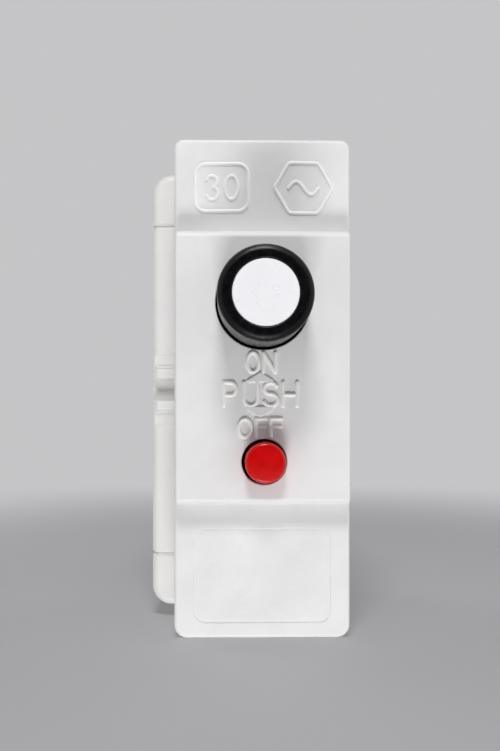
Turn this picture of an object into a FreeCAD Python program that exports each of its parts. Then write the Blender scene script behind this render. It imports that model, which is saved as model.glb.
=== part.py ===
import FreeCAD, Part

import math
import os

from FreeCAD import Vector

# A plug-in miniature circuit breaker with a push button for ON and one for OFF.
# X runs to the right of someone facing the buttons, Y runs from the buttons to the back, Z runs up.
# The origin is on the flat back of the case, level with the middle of the breaker.
# All sizes are in millimetres.

# Front cover, a moulded box that is open at the back
cover_width = 26.0
cover_height = 73.8
cover_depth = 16.0
cover_wall = 1.8
cover_centre = -0.25
cover_top_corner = 1.4
cover_bottom_corner = 1.9
cover_edge = 0.5

# Raised middle of the cover, which both buttons stand in
plateau_rise = 3.0
plateau_top = 22.65
plateau_margin = 6.25
plateau_inset = 0.25
plateau_edge = 1.0
plateau_side_edge = 0.4

# Shallow label field on the lower end of the cover
label_width = 20.4
label_corner = 1.8
label_depth = 0.15
label_margin = 2.15
label_gap = 3.7

# Case behind the cover: two riveted halves and two end blocks
case_end_inset = 1.7
case_depth = 30.0
case_left_step = 4.4
case_right_inset = 0.2
case_wall = 1.8
case_end_wall = 1.5
case_corner = 3.2
case_edge = 1.2
case_front_plate = 2.6
end_block_height = 8.5
end_block_setback = 0.6
seam_chamfer = 0.45
pocket_side = 1.0
pocket_floor = 3.0
collar_length = 3.0
collar_wall = 1.2
collar_inset = 0.7
fit_gap = 0.1

# Keying groove across the case's left shoulder, with a lip and a sloping channel on each side
groove_width = 3.3
groove_depth = 1.6
groove_side_depth = 0.15
lip_width = 1.6
lip_rise = 0.45
lip_offset = 0.95
channel_width = 2.4
channel_depth = 0.3
channel_offset = 3.05
channel_slope = 0.4

# Buttons
on_height = 12.25
off_above_coil = 6.05
off_offset = 0.2
button_gap = 0.3
hole_edge = 0.2
guide_length = 6.7
guide_wall = 1.4
flange_gap = 0.25
flange_thickness = 1.4
flange_lip = 1.0
on_cap_radius = 6.6
on_cap_proud = 12.0
on_cap_edge = 0.9
on_cap_bore = 5.0
on_cap_front = 3.6
on_travel = 5.2
disc_radius = 4.55
disc_thickness = 1.4
disc_edge = 0.15
off_cap_radius = 3.0
off_cap_proud = 3.0
off_cap_edge = 0.45
off_travel = 2.0
off_stem_radius = 1.6

# Plunger behind the ON button
plunger_radius = 2.0
plunger_head_thickness = 2.0
notch_depth = 0.8
notch_width = 1.8
nose_gap = 0.35

# Mechanism frame, bent from sheet steel
frame_half_width = 8.0
frame_sheet = 1.0
frame_above_on = 8.75
frame_below_off = 4.05
frame_front_gap = 0.5
bridge_thickness = 1.2
side_plate_rise = 4.0
side_plate_drop = 4.25
side_plate_overhang = 2.9
stem_hole_gap = 0.3
spring_tab_height = 3.8
spring_tab_setback = 1.1

# Pivots
pin_radius = 1.2
pin_clearance = 0.06
pin_head_radius = 1.8
pin_head_thickness = 0.6
pin_tail = 0.5
hub_side_gap = 0.4

# Plug blades and the contact strips behind them
blade_thickness = 2.0
blade_height = 6.0
blade_length = 13.0
blade_embed = 5.0
blade_inset = 4.2
blade_chamfer = 0.7
strip_width = 6.0
strip_thickness = 1.2
strip_gap = 0.1
loop_depth = 5.8
loop_foot = 3.5
loop_rise = 3.0

# Contacts and the moving arm
tip_size = 4.0
tip_thickness = 0.8
contact_gap = 0.1
arm_thickness = 2.0
arm_width = 5.0
arm_above_coil = 12.75
arm_tip_above = 3.0
arm_hub_radius = 2.8
lug_width = 3.0
lug_length = 5.5
lug_edge = 1.6

# Latch lever
latch_above_arm = 5.25
latch_setback = 5.3
latch_hub_radius = 2.2
latch_thickness = 1.6
latch_arm_width = 4.0
latch_pad_width = 4.5
latch_pad_drop = 9.0
latch_tail_reach = 1.6
tooth_gap = 0.2
tooth_forward = 2.8
tooth_length = 1.5
tooth_width = 3.0
tooth_root_half = 1.0
off_nose_gap = 0.4

# Magnetic trip: yoke, bobbin, winding, core and sliding armature
bobbin_floor_gap = 0.7
yoke_half_width = 5.0
yoke_sheet = 1.2
yoke_rise = 6.2
yoke_front = 18.8
yoke_length = 11.2
bobbin_bore_gap = 0.15
bobbin_wall = 0.8
bobbin_flange_radius = 6.2
bobbin_flange = 0.8
bobbin_end_gap = 0.1
winding_wire = 0.5
winding_gap = 0.1
winding_turns = 4
lead_reach = 6.1
lead_pad_above = 0.9
lead_pad_below = 2.6
lead_pad_side = 1.2
solder_film = 0.05
armature_radius = 2.4
armature_front = 0.5
armature_length = 5.7
armature_travel = 1.2
armature_stop_gap = 0.2
armature_rod_radius = 0.8
armature_head_radius = 2.0
armature_head_thickness = 1.0
fork_gap = 0.3
fork_top_gap = 0.4
core_press_gap = 0.02
bore_radius = 1.5
armature_bore_depth = 3.0
core_bore_depth = 2.0

# Thermal trip: bimetal strip on its bracket, with a calibration screw
bimetal_side_gap = 0.5
bimetal_width = 3.4
bimetal_layer = 0.5
bimetal_gap = 0.7
bimetal_tip_drop = 4.6
bimetal_root_drop = 2.2
bracket_thickness = 1.2
bracket_toe = 0.4
bracket_front_rise = 1.6
bracket_rear_rise = 5.0
calibration_drop = 6.5
calibration_radius = 0.8
calibration_gap = 1.0
calibration_proud = 0.4
calibration_slot = 0.3
braid_radius = 0.8
braid_rise = 6.0
braid_end_gap = 0.2
braid_level_share = 0.45
braid_end_share = 0.2
braid_bend = 2.6

# Arc chute above the contacts
chute_bottom = 17.0
chute_clearance = 0.4
chute_setback = 9.4
chute_plate_count = 6
chute_spacing = 1.9
chute_plate = 0.8
chute_half_width = 7.0
chute_notch_width = 5.0
chute_notch_height = 3.0
cheek_thickness = 0.8
cheek_overhang = 0.5

# Springs, all of round wire
on_spring_radius = 3.9
on_spring_wire = 0.4
on_spring_turns = 11
off_spring_radius = 2.5
off_spring_wire = 0.3
off_spring_turns = 8
arm_spring_radius = 2.0
arm_spring_wire = 0.3
arm_spring_turns = 6
arm_spring_shelf = 8.0
shelf_thickness = 1.8
shelf_margin = 0.4
spigot_length = 1.5
latch_spring_radius = 1.4
latch_spring_wire = 0.2
latch_spring_turns = 4
latch_spring_drop = 7.6
armature_spring_radius = 1.05
armature_spring_wire = 0.2
armature_spring_turns = 6
spring_end_gap = 0.05

# Fasteners
rivet_radius = 1.4
rivet_gap = 0.1
rivet_head_radius = 2.4
rivet_head_thickness = 0.7
rivet_boss_radius = 2.6
rivet_boss_blend = 0.4
rivet_strip_gap = 0.55
rivet_setback = 0.1
rivet_pocket_gap = 0.2
screw_radius = 1.5
screw_gap = 0.05
screw_head_radius = 2.8
screw_head_thickness = 1.7
screw_head_gap = 0.25
screw_head_sink = 0.3
screw_hole_spare = 0.5
screw_offset = -8.0
screw_bite = 10.5
screw_slot = 0.8
screw_boss_radius = 3.0
rib_thickness = 1.2
rib_inset = 1.2

# How far a cut runs past the face that it starts from
overcut = 1.0

# Heights, worked out from the sizes above
cover_top = cover_centre + cover_height / 2
cover_bottom = cover_centre - cover_height / 2
case_height = cover_height - 2 * case_end_inset
block_inner = case_height / 2 - end_block_height
blade_centre = case_height / 2 - blade_inset
cavity_half_height = block_inner - case_end_wall
collar_half_height = block_inner - collar_inset
window_half_height = collar_half_height - collar_wall
coil_height = -cavity_half_height + fit_gap + yoke_sheet + bobbin_floor_gap + bobbin_flange_radius
winding_radius = armature_radius + bobbin_bore_gap + bobbin_wall + winding_gap + winding_wire
lead_height = coil_height + winding_radius
bimetal_root = coil_height - bimetal_root_drop
bracket_top = coil_height + bracket_front_rise
off_height = coil_height + off_above_coil
plateau_bottom = off_height - plateau_margin
label_height = plateau_bottom - label_gap - cover_bottom - label_margin
label_centre = cover_bottom + label_margin + label_height / 2
frame_top = on_height + frame_above_on
frame_bottom = off_height - frame_below_off
arm_z = coil_height + arm_above_coil
arm_reach = on_height - arm_z
arm_spring_height = (arm_z + arm_hub_radius + on_height - loop_foot) / 2
latch_height = arm_z + latch_above_arm
latch_spring_height = latch_height - latch_spring_drop
side_plate_top = latch_height + side_plate_rise
side_plate_bottom = arm_z - side_plate_drop
bimetal_tip = latch_height - bimetal_tip_drop
calibration_height = latch_height - calibration_drop
braid_height = coil_height + braid_rise

# Planes from front to back, worked out from the sizes above
seat_y = 0.0
shoulder_y = seat_y - case_depth
panel_y = shoulder_y - cover_depth
plateau_y = panel_y - plateau_rise
guide_end_y = plateau_y + guide_length
flange_y = guide_end_y + flange_gap
flange_back_y = flange_y + flange_thickness
bridge_y = shoulder_y - frame_front_gap
bridge_back_y = bridge_y + bridge_thickness
blade_inner_y = seat_y - blade_embed
strip_y = blade_inner_y - strip_thickness
loop_y = blade_inner_y - loop_depth - strip_thickness
fixed_face_y = loop_y - tip_thickness
arm_back_y = fixed_face_y - contact_gap - tip_thickness
arm_y = arm_back_y - arm_thickness / 2
tab_y = arm_y - arm_hub_radius - spring_tab_setback - frame_sheet
latch_y = bridge_back_y + latch_setback
yoke_y = seat_y - yoke_front
bimetal_y = bridge_back_y + bimetal_gap
bimetal_back_y = bimetal_y + 2 * bimetal_layer
chute_y = shoulder_y + chute_setback

# Sides and ends of the case
case_left = -cover_width / 2 - case_left_step
case_right = cover_width / 2 - case_right_inset
split_x = (case_left + case_right) / 2
cavity_left = case_left + case_wall
cavity_right = case_right - case_wall
collar_half_width = cover_width / 2 - cover_wall - fit_gap
window_half_width = collar_half_width - collar_wall
hub_half = frame_half_width - frame_sheet - hub_side_gap
bimetal_left = -frame_half_width + frame_sheet + bimetal_side_gap
bimetal_middle = bimetal_left + bimetal_width / 2
lug_middle = -hub_half + lug_width / 2

# The arm stands open by the angle that the ON button's travel takes up
open_angle = math.degrees(math.atan(on_travel / arm_reach))


def box(x, y, z):
    """A block between (low, high) pairs along X, Y and Z."""
    corner = Vector(min(x), min(y), min(z))
    return Part.makeBox(abs(x[1] - x[0]), abs(y[1] - y[0]), abs(z[1] - z[0]), corner)


def rod_y(radius, y0, y1, x=0.0, z=0.0):
    """A round bar along Y from y0 to y1."""
    return Part.makeCylinder(radius, y1 - y0, Vector(x, y0, z), Vector(0, 1, 0))


def rod_x(radius, x0, x1, y, z):
    """A round bar along X from x0 to x1."""
    return Part.makeCylinder(radius, x1 - x0, Vector(x0, y, z), Vector(1, 0, 0))


def plate_x(outline, x0, x1):
    """A flat plate with an outline of (y, z) points, between x0 and x1."""
    points = [Vector(x0, y, z) for y, z in outline]
    face = Part.Face(Part.makePolygon(points + points[:1]))
    return face.extrude(Vector(x1 - x0, 0, 0))


def joined(first, *others):
    """The pieces melted into one solid, with the seams between flush faces removed."""
    return first.fuse(list(others)).removeSplitter()


def edges_where(shape, wanted):
    """The edges whose middle and direction satisfy a test."""
    found = []
    for edge in shape.Edges:
        middle = edge.valueAt((edge.FirstParameter + edge.LastParameter) / 2)
        start = edge.valueAt(edge.FirstParameter)
        end = edge.valueAt(edge.LastParameter)
        if wanted(middle, end - start):
            found.append(edge)
    return found


def close(a, b):
    """Whether two lengths agree to a hundredth of a millimetre."""
    return abs(a - b) < 0.01


def along_y(direction):
    """Whether an edge runs along Y."""
    return abs(direction.x) < 0.01 and abs(direction.z) < 0.01 and abs(direction.y) > 0.01


def spring(mean_radius, wire_radius, y0, y1, x, z, turns):
    """A coil of round wire about an axis along Y that fits between the planes y0 and y1."""
    low = y0 + wire_radius + spring_end_gap
    rise = (y1 - wire_radius - spring_end_gap) - low
    quarters = 4 * turns

    def at(step):
        angle = step * math.pi / 2
        height = low + rise * step / quarters
        return Vector(x + mean_radius * math.cos(angle), height, z + mean_radius * math.sin(angle))

    arcs = [Part.Arc(at(q), at(q + 0.5), at(q + 1)).toShape() for q in range(quarters)]
    path = Part.Wire(arcs)
    tangent = Vector(0, rise / quarters, mean_radius * math.pi / 2)
    ring = Part.Wire(Part.makeCircle(wire_radius, at(0), tangent))
    return path.makePipeShell([ring], True, False)


def tube_along(points, bend_radius, wire_radius):
    """A round wire along straight runs joined by tangent arcs."""
    edges = []
    start = points[0]
    for before, corner, after in zip(points, points[1:], points[2:]):
        into = (corner - before).normalize()
        out = (after - corner).normalize()
        turn = into.getAngle(out)
        cut = bend_radius * math.tan(turn / 2)
        first = corner - into * cut
        last = corner + out * cut
        bisector = (out - into).normalize()
        middle = corner + bisector * (bend_radius / math.cos(turn / 2) - bend_radius)
        edges.append(Part.LineSegment(start, first).toShape())
        edges.append(Part.Arc(first, middle, last).toShape())
        start = last
    edges.append(Part.LineSegment(start, points[-1]).toShape())
    ring = Part.Wire(Part.makeCircle(wire_radius, points[0], points[1] - points[0]))
    return Part.Wire(edges).makePipeShell([ring], True, False)


def opened(shape):
    """A piece of the contact arm, drawn closed, swung to where it stands with the breaker off."""
    shape = shape.copy()
    shape.rotate(Vector(0, arm_y, arm_z), Vector(1, 0, 0), open_angle)
    return shape


def rounded_block(x, y, z, radius):
    """A block whose four edges along Y are rounded."""
    block = box(x, y, z)
    return block.makeFillet(radius, edges_where(block, lambda m, d: along_y(d)))


def front_cover():
    """The white moulding that faces the user, with plateau, button guides and screw bosses."""
    half_w = cover_width / 2
    shell = box((-half_w, half_w), (panel_y, shoulder_y), (cover_bottom, cover_top))
    for height, radius in ((cover_top, cover_top_corner), (cover_bottom, cover_bottom_corner)):
        corners = edges_where(shell, lambda m, d: along_y(d) and close(m.z, height))
        shell = shell.makeFillet(radius, corners)
    rim = edges_where(shell, lambda m, d: close(m.y, panel_y))
    shell = shell.makeFillet(cover_edge, rim)
    shell = joined(shell, plateau_block())

    inner_w = half_w - cover_wall
    hollow = box(
        (-inner_w, inner_w),
        (panel_y + cover_wall, shoulder_y + overcut),
        (cover_bottom + cover_wall, cover_top - cover_wall),
    )
    raised_hollow = box(
        (-inner_w, inner_w),
        (plateau_y + cover_wall, panel_y + cover_wall),
        (plateau_bottom + cover_wall, plateau_top - cover_wall),
    )
    shell = shell.cut(hollow.fuse(raised_hollow))

    for radius, x, z in ((on_cap_radius, 0, on_height), (off_cap_radius, off_offset, off_height)):
        bore = radius + button_gap
        shell = shell.fuse(rod_y(bore + guide_wall, plateau_y + cover_wall / 2, guide_end_y, x, z))
        shell = shell.cut(rod_y(bore, plateau_y - overcut, guide_end_y + overcut, x, z))
        mouth = edges_where(
            shell,
            lambda m, d: close(m.y, plateau_y) and close(math.hypot(m.x - x, m.z - z), bore),
        )
        shell = shell.makeFillet(hole_edge, mouth)
    for end in (-1, 1):
        boss_front = panel_y + cover_wall / 2
        boss = rod_y(screw_boss_radius, boss_front, shoulder_y, screw_offset, end * blade_centre)
        hole_start = shoulder_y - screw_bite - screw_hole_spare
        hole = rod_y(screw_radius + screw_gap, hole_start, shoulder_y, screw_offset, end * blade_centre)
        shell = shell.fuse(boss).cut(hole)
    label = rounded_block(
        (-label_width / 2, label_width / 2),
        (panel_y - overcut, panel_y + label_depth),
        (label_centre - label_height / 2, label_centre + label_height / 2),
        label_corner,
    )
    return shell.cut(label).removeSplitter()


def plateau_block():
    """The raised middle of the cover, rounded at its front edges and sunk a little into the panel."""
    half_w = cover_width / 2 - plateau_inset
    block = box((-half_w, half_w), (plateau_y, panel_y + cover_wall), (plateau_bottom, plateau_top))
    ends = edges_where(block, lambda m, d: close(m.y, plateau_y) and abs(d.x) > 1)
    block = block.makeFillet(plateau_edge, ends)
    sides = edges_where(block, lambda m, d: close(abs(m.x), half_w) and m.y < panel_y and not along_y(d))
    return block.makeFillet(plateau_side_edge, sides)


def rivet_places():
    """Where the four rivets cross the case, as (y, z)."""
    standoff = rivet_boss_radius - rivet_boss_blend
    front_y = shoulder_y + case_front_plate + standoff
    rear_y = seat_y - case_wall - standoff
    front_z = cavity_half_height - standoff
    return (
        (front_y, front_z),
        (front_y, -front_z),
        (rear_y, on_height - loop_foot - rivet_strip_gap - rivet_boss_radius),
        (rear_y, lead_height + lead_pad_above + rivet_strip_gap + rivet_boss_radius),
    )


def shoulder_key(shape):
    """The left shoulder's groove and its two lips, cut and added to the left half of the case."""
    cover_side = -cover_width / 2 - fit_gap
    groove = box(
        (case_left - overcut, cover_side),
        (shoulder_y - overcut, shoulder_y + groove_depth),
        (-groove_width / 2, groove_width / 2),
    )
    side = box(
        (case_left - overcut, case_left + groove_side_depth),
        (shoulder_y - overcut, seat_y + overcut),
        (-groove_width / 2, groove_width / 2),
    )
    shape = shape.cut(groove.fuse(side))
    for end in (-1, 1):
        channel_centre = end * (groove_width / 2 + channel_offset)
        low = channel_centre - channel_width / 2
        high = channel_centre + channel_width / 2
        channel_outline = [
            (shoulder_y - overcut, low),
            (shoulder_y, low),
            (shoulder_y + channel_depth, low + channel_slope),
            (shoulder_y + channel_depth, high - channel_slope),
            (shoulder_y, high),
            (shoulder_y - overcut, high),
        ]
        shape = shape.cut(plate_x(channel_outline, case_left - overcut, cover_side))
        centre = end * (groove_width / 2 + lip_offset)
        lip = box(
            (case_left + case_edge / 2, cover_side),
            (shoulder_y - lip_rise, shoulder_y + case_edge),
            (centre - lip_width / 2, centre + lip_width / 2),
        )
        crest_y = shoulder_y - lip_rise
        crest = edges_where(lip, lambda m, d: close(m.y, crest_y) and m.x < cover_side - overcut)
        shape = shape.fuse(lip.makeFillet(lip_rise * 0.9, crest))
    return shape


def case_half(side):
    """One riveted half of the case: side is -1 for the left half and 1 for the right half."""
    outer_x = case_left if side < 0 else case_right
    wall_x = cavity_left if side < 0 else cavity_right
    body = box((outer_x, split_x), (shoulder_y, seat_y), (-block_inner, block_inner))
    long_edges = edges_where(
        body, lambda m, d: close(m.x, outer_x) and (close(m.y, shoulder_y) or close(m.y, seat_y))
    )
    body = body.makeFillet(case_edge, long_edges)
    seams = edges_where(
        body, lambda m, d: close(abs(m.z), block_inner) and (close(m.x, outer_x) or close(m.y, shoulder_y))
    )
    body = body.makeChamfer(seam_chamfer, seams)
    collar = box(
        (side * collar_half_width, split_x),
        (shoulder_y - collar_length, shoulder_y + overcut),
        (-collar_half_height, collar_half_height),
    )
    body = body.fuse(collar)
    cavity = box(
        (wall_x, split_x),
        (shoulder_y + case_front_plate, seat_y - case_wall),
        (-cavity_half_height, cavity_half_height),
    )
    window = box(
        (side * window_half_width, split_x),
        (shoulder_y - collar_length - overcut, shoulder_y + case_front_plate + overcut),
        (-window_half_height, window_half_height),
    )
    body = body.cut(cavity.fuse(window))

    rib_face = side * (frame_half_width + fit_gap)
    for height in (side_plate_top - rib_inset, side_plate_bottom + rib_inset):
        rib = box(
            (wall_x, rib_face),
            (bridge_back_y + fit_gap, arm_y + side_plate_overhang),
            (height - rib_thickness / 2, height + rib_thickness / 2),
        )
        body = body.fuse(rib)
    cheek_face = side * (chute_half_width + cheek_thickness + fit_gap)
    chute_middle = chute_y + (chute_plate_count - 1) * chute_spacing / 2
    stop = box(
        (wall_x, cheek_face),
        (chute_middle - rib_thickness / 2, chute_middle + rib_thickness / 2),
        (chute_bottom - chute_clearance, cavity_half_height),
    )
    ledge = box(
        (wall_x, side * (chute_half_width + fit_gap)),
        (chute_y, chute_y + chute_plate_count * chute_spacing),
        (chute_bottom - chute_clearance - rib_thickness, chute_bottom - chute_clearance),
    )
    body = body.fuse([stop, ledge])
    for y, z in rivet_places():
        body = body.fuse(rod_x(rivet_boss_radius, min(wall_x, split_x), max(wall_x, split_x), y, z))
    if side > 0:
        body = body.fuse(spring_shelf())

    for y, z in rivet_places():
        body = body.cut(rod_x(rivet_radius + rivet_gap, case_left - overcut, case_right + overcut, y, z))
        bore = rivet_head_radius + rivet_pocket_gap
        sunk = rivet_head_thickness + rivet_setback
        low, high = sorted((outer_x - side * sunk, outer_x + side * overcut))
        body = body.cut(rod_x(bore, low, high, y, z))
    strip_half = strip_width / 2 + strip_gap
    for end in (-1, 1):
        slot = box(
            (-strip_half, strip_half),
            (strip_y - strip_gap, blade_inner_y + strip_gap),
            (end * (cavity_half_height - overcut), end * (block_inner + overcut)),
        )
        body = body.cut(slot)
    if side < 0:
        body = shoulder_key(body)
    return body.removeSplitter()


def spring_shelf():
    """The ledge and spigot in the right half that the contact arm's opening spring stands on."""
    height = arm_spring_height
    half = arm_spring_radius + arm_spring_wire + shelf_margin
    shelf = box(
        (split_x + fit_gap, cavity_right),
        (-arm_spring_shelf, -arm_spring_shelf + shelf_thickness),
        (height - half, height + half),
    )
    spigot_radius = arm_spring_radius - arm_spring_wire - fit_gap
    root_y = -arm_spring_shelf + shelf_thickness / 2
    spigot = rod_y(spigot_radius, -arm_spring_shelf - spigot_length, root_y, z=height)
    return shelf.fuse(spigot)


def end_block(end):
    """A moulded block at the top (end 1) or bottom (end -1) of the case, which holds a plug blade."""
    back_y = seat_y - end_block_setback
    outer = end * case_height / 2
    inner = end * block_inner
    block = box((case_left, case_right), (shoulder_y, back_y), (inner, outer))
    corners = edges_where(block, lambda m, d: along_y(d) and close(m.z, outer))
    block = block.makeFillet(case_corner, corners)
    rim = edges_where(
        block,
        lambda m, d: (close(m.y, shoulder_y) or close(m.y, back_y)) and not close(m.z, inner),
    )
    block = block.makeFillet(case_edge, rim)
    seams = edges_where(
        block, lambda m, d: close(m.z, inner) and (along_y(d) or close(m.y, shoulder_y))
    )
    block = block.makeChamfer(seam_chamfer, seams)

    cover_end = cover_top if end > 0 else -cover_bottom
    tongue_top = min(cover_end - cover_wall, case_height / 2) - fit_gap
    tongue = box(
        (screw_offset + screw_boss_radius + fit_gap, collar_half_width),
        (shoulder_y - collar_length, shoulder_y + overcut),
        (end * (tongue_top - collar_wall), end * tongue_top),
    )
    block = block.fuse(tongue)
    pocket = box(
        (strip_width / 2 + pocket_side, collar_half_width - collar_wall),
        (shoulder_y - overcut, strip_y - pocket_floor),
        (inner + end * case_wall, outer - end * case_wall),
    )
    blade_half = blade_height / 2 + strip_gap
    blade_slot = box(
        (-blade_thickness / 2 - strip_gap / 2, blade_thickness / 2 + strip_gap / 2),
        (strip_y, seat_y + overcut),
        (inner - end * overcut, end * (blade_centre + blade_half)),
    )
    strip_half = strip_width / 2 + strip_gap
    strip_slot = box(
        (-strip_half, strip_half),
        (strip_y - strip_gap, blade_inner_y + strip_gap),
        (inner - end * overcut, end * (blade_centre + blade_half)),
    )
    centre_z = end * blade_centre
    hole = rod_y(screw_radius + 2 * fit_gap, shoulder_y - overcut, seat_y, screw_offset, centre_z)
    head_y = back_y - screw_head_thickness - screw_head_sink
    bore = screw_head_radius + screw_head_gap
    counterbore = rod_y(bore, head_y, seat_y + overcut, screw_offset, centre_z)
    block = block.cut(pocket.fuse([blade_slot, strip_slot, hole, counterbore]))
    return block.removeSplitter()


def case_rivets():
    """Four rivets across the case, each with a formed head at both sides."""
    rivets = []
    left = case_left + rivet_setback
    right = case_right - rivet_setback
    for y, z in rivet_places():
        shank = rod_x(rivet_radius, left, right, y, z)
        heads = [
            rod_x(rivet_head_radius, left, left + rivet_head_thickness, y, z),
            rod_x(rivet_head_radius, right - rivet_head_thickness, right, y, z),
        ]
        rivet = joined(shank, *heads)
        rims = edges_where(rivet, lambda m, d: close(m.x, left) or close(m.x, right))
        rivets.append(rivet.makeFillet(rivet_head_thickness * 0.7, rims))
    return Part.makeCompound(rivets)


def cover_screws():
    """Two slotted screws that run from the back of the end blocks into the cover's bosses."""
    screws = []
    head_y = seat_y - end_block_setback - screw_head_thickness - screw_head_sink
    for end in (-1, 1):
        z = end * blade_centre
        shank_end = head_y + screw_head_thickness / 2
        shank = rod_y(screw_radius, shoulder_y - screw_bite, shank_end, screw_offset, z)
        head = rod_y(screw_head_radius, head_y, head_y + screw_head_thickness, screw_offset, z)
        rim = edges_where(head, lambda m, d: close(m.y, head_y + screw_head_thickness))
        head = head.makeFillet(screw_head_thickness * 0.4, rim)
        slot = box(
            (screw_offset - screw_head_radius - overcut, screw_offset + screw_head_radius + overcut),
            (head_y + screw_head_thickness / 2, head_y + screw_head_thickness + overcut),
            (z - screw_slot / 2, z + screw_slot / 2),
        )
        screws.append(joined(shank, head).cut(slot))
    return Part.makeCompound(screws)


def on_button_cap():
    """The black cup that the thumb presses, with a seat for the disc and a flange behind."""
    front_y = plateau_y - on_cap_proud
    cap = rod_y(on_cap_radius, front_y, flange_back_y, z=on_height)
    rim = edges_where(cap, lambda m, d: close(m.y, front_y))
    cap = cap.makeFillet(on_cap_edge, rim)
    flange = rod_y(on_cap_radius + flange_lip, flange_y, flange_back_y, z=on_height)
    cap = joined(cap, flange)
    seat = rod_y(disc_radius + fit_gap / 2, front_y - overcut, front_y + disc_thickness, z=on_height)
    hollow = rod_y(on_cap_bore, front_y + on_cap_front, flange_back_y + overcut, z=on_height)
    return cap.cut(seat.fuse(hollow))


def on_button_disc():
    """The white disc set flush in the front of the ON button."""
    front_y = plateau_y - on_cap_proud
    disc = rod_y(disc_radius, front_y, front_y + disc_thickness, z=on_height)
    rim = edges_where(disc, lambda m, d: close(m.y, front_y))
    return disc.makeFillet(disc_edge, rim)


def on_plunger():
    """The rod behind the ON button: a head in the cap's bore, a notch for the latch and a round nose."""
    head_y = plateau_y - on_cap_proud + on_cap_front
    lean = math.radians(open_angle)
    face_y = arm_y - arm_reach * math.tan(lean) - arm_thickness / 2 / math.cos(lean)
    nose_y = face_y - nose_gap - plunger_radius
    head = rod_y(on_cap_bore - fit_gap, head_y, head_y + plunger_head_thickness, z=on_height)
    stem = rod_y(plunger_radius, head_y, nose_y, z=on_height)
    nose = Part.makeSphere(plunger_radius, Vector(0, nose_y, on_height))
    plunger = joined(head, stem, nose)
    tooth_y = latch_y - tooth_forward + tooth_length / 2
    notch_y = tooth_y - on_travel
    low, high = notch_y - notch_width / 2, notch_y + notch_width / 2
    ring = rod_y(plunger_radius + overcut, low, high, z=on_height)
    ring = ring.cut(rod_y(plunger_radius - notch_depth, low, high, z=on_height))
    return plunger.cut(ring)


def off_button():
    """The red button with its flange and the stem that reaches the latch lever."""
    front_y = plateau_y - off_cap_proud
    cap = rod_y(off_cap_radius, front_y, flange_back_y, off_offset, off_height)
    rim = edges_where(cap, lambda m, d: close(m.y, front_y))
    cap = cap.makeFillet(off_cap_edge, rim)
    flange = rod_y(off_cap_radius + flange_lip, flange_y, flange_back_y, off_offset, off_height)
    tip_y = latch_y - latch_thickness / 2 - off_nose_gap
    stem = rod_y(off_stem_radius, flange_y, tip_y, off_offset, off_height)
    return joined(cap, flange, stem)


def mechanism_frame():
    """The bent steel frame: a bridge that guides both plungers, two side plates and a spring tab."""
    half = window_half_width - fit_gap
    bridge = box((-half, half), (bridge_y, bridge_back_y), (frame_bottom, frame_top))
    holes = [
        rod_y(plunger_radius + stem_hole_gap, bridge_y, bridge_back_y, z=on_height),
        rod_y(off_stem_radius + stem_hole_gap, bridge_y, bridge_back_y, off_offset, off_height),
    ]
    frame = bridge.cut(holes)
    for side in (-1, 1):
        plate = box(
            (side * (frame_half_width - frame_sheet), side * frame_half_width),
            (bridge_y, arm_y + side_plate_overhang),
            (side_plate_bottom, side_plate_top),
        )
        frame = frame.fuse(plate)
    tab_top = latch_spring_height + spring_tab_height / 2
    tab_bottom = latch_spring_height - spring_tab_height / 2
    tab_half = spring_tab_height / 2
    tab = box(
        (-tab_half, frame_half_width - frame_sheet / 2),
        (tab_y, tab_y + frame_sheet),
        (tab_bottom, tab_top),
    )
    frame = frame.fuse(tab)
    for y, z in ((arm_y, arm_z), (latch_y, latch_height)):
        frame = frame.cut(rod_x(pin_radius + pin_clearance, -frame_half_width, frame_half_width, y, z))
    return frame.removeSplitter()


def pivot_pin(y, z):
    """A headed steel pin that crosses both side plates of the frame."""
    shank = rod_x(pin_radius, -frame_half_width, frame_half_width + pin_tail, y, z)
    head_x = -frame_half_width - pin_head_thickness
    head = rod_x(pin_head_radius, head_x, -frame_half_width, y, z)
    return joined(shank, head)


def plug_blade(end):
    """A flat brass blade that plugs into the fuse base, with a chamfered tip."""
    tip_y = seat_y + blade_length
    centre = end * blade_centre
    blade = box(
        (-blade_thickness / 2, blade_thickness / 2),
        (blade_inner_y, tip_y),
        (centre - blade_height / 2, centre + blade_height / 2),
    )
    tip = edges_where(blade, lambda m, d: close(m.y, tip_y))
    return blade.makeChamfer(blade_chamfer, tip)


def fixed_contact_strip():
    """The strip from the upper blade, looped forward and up so that it faces the moving contact."""
    half = strip_width / 2
    top = blade_centre + blade_height / 2
    foot = on_height - loop_foot
    rear = box((-half, half), (strip_y, blade_inner_y), (foot, top))
    floor = box((-half, half), (loop_y, blade_inner_y), (foot, foot + strip_thickness))
    front = box((-half, half), (loop_y, loop_y + strip_thickness), (foot, on_height + loop_rise))
    return joined(rear, floor, front)


def load_strip():
    """The strip from the lower blade, with a side tab for the winding's rear lead."""
    half = strip_width / 2
    bottom = -blade_centre - blade_height / 2
    top = lead_height - lead_pad_below / 2
    rear = box((-half, half), (strip_y, blade_inner_y), (bottom, top))
    tab = box(
        (-half, lead_reach + lead_pad_side),
        (strip_y, blade_inner_y),
        (lead_height - lead_pad_below, lead_height + lead_pad_above),
    )
    return joined(rear, tab)


def contact_tip(y0, y1):
    """A square silver contact between two planes, level with the ON button."""
    half = tip_size / 2
    return box((-half, half), (y0, y1), (on_height - half, on_height + half))


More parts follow.
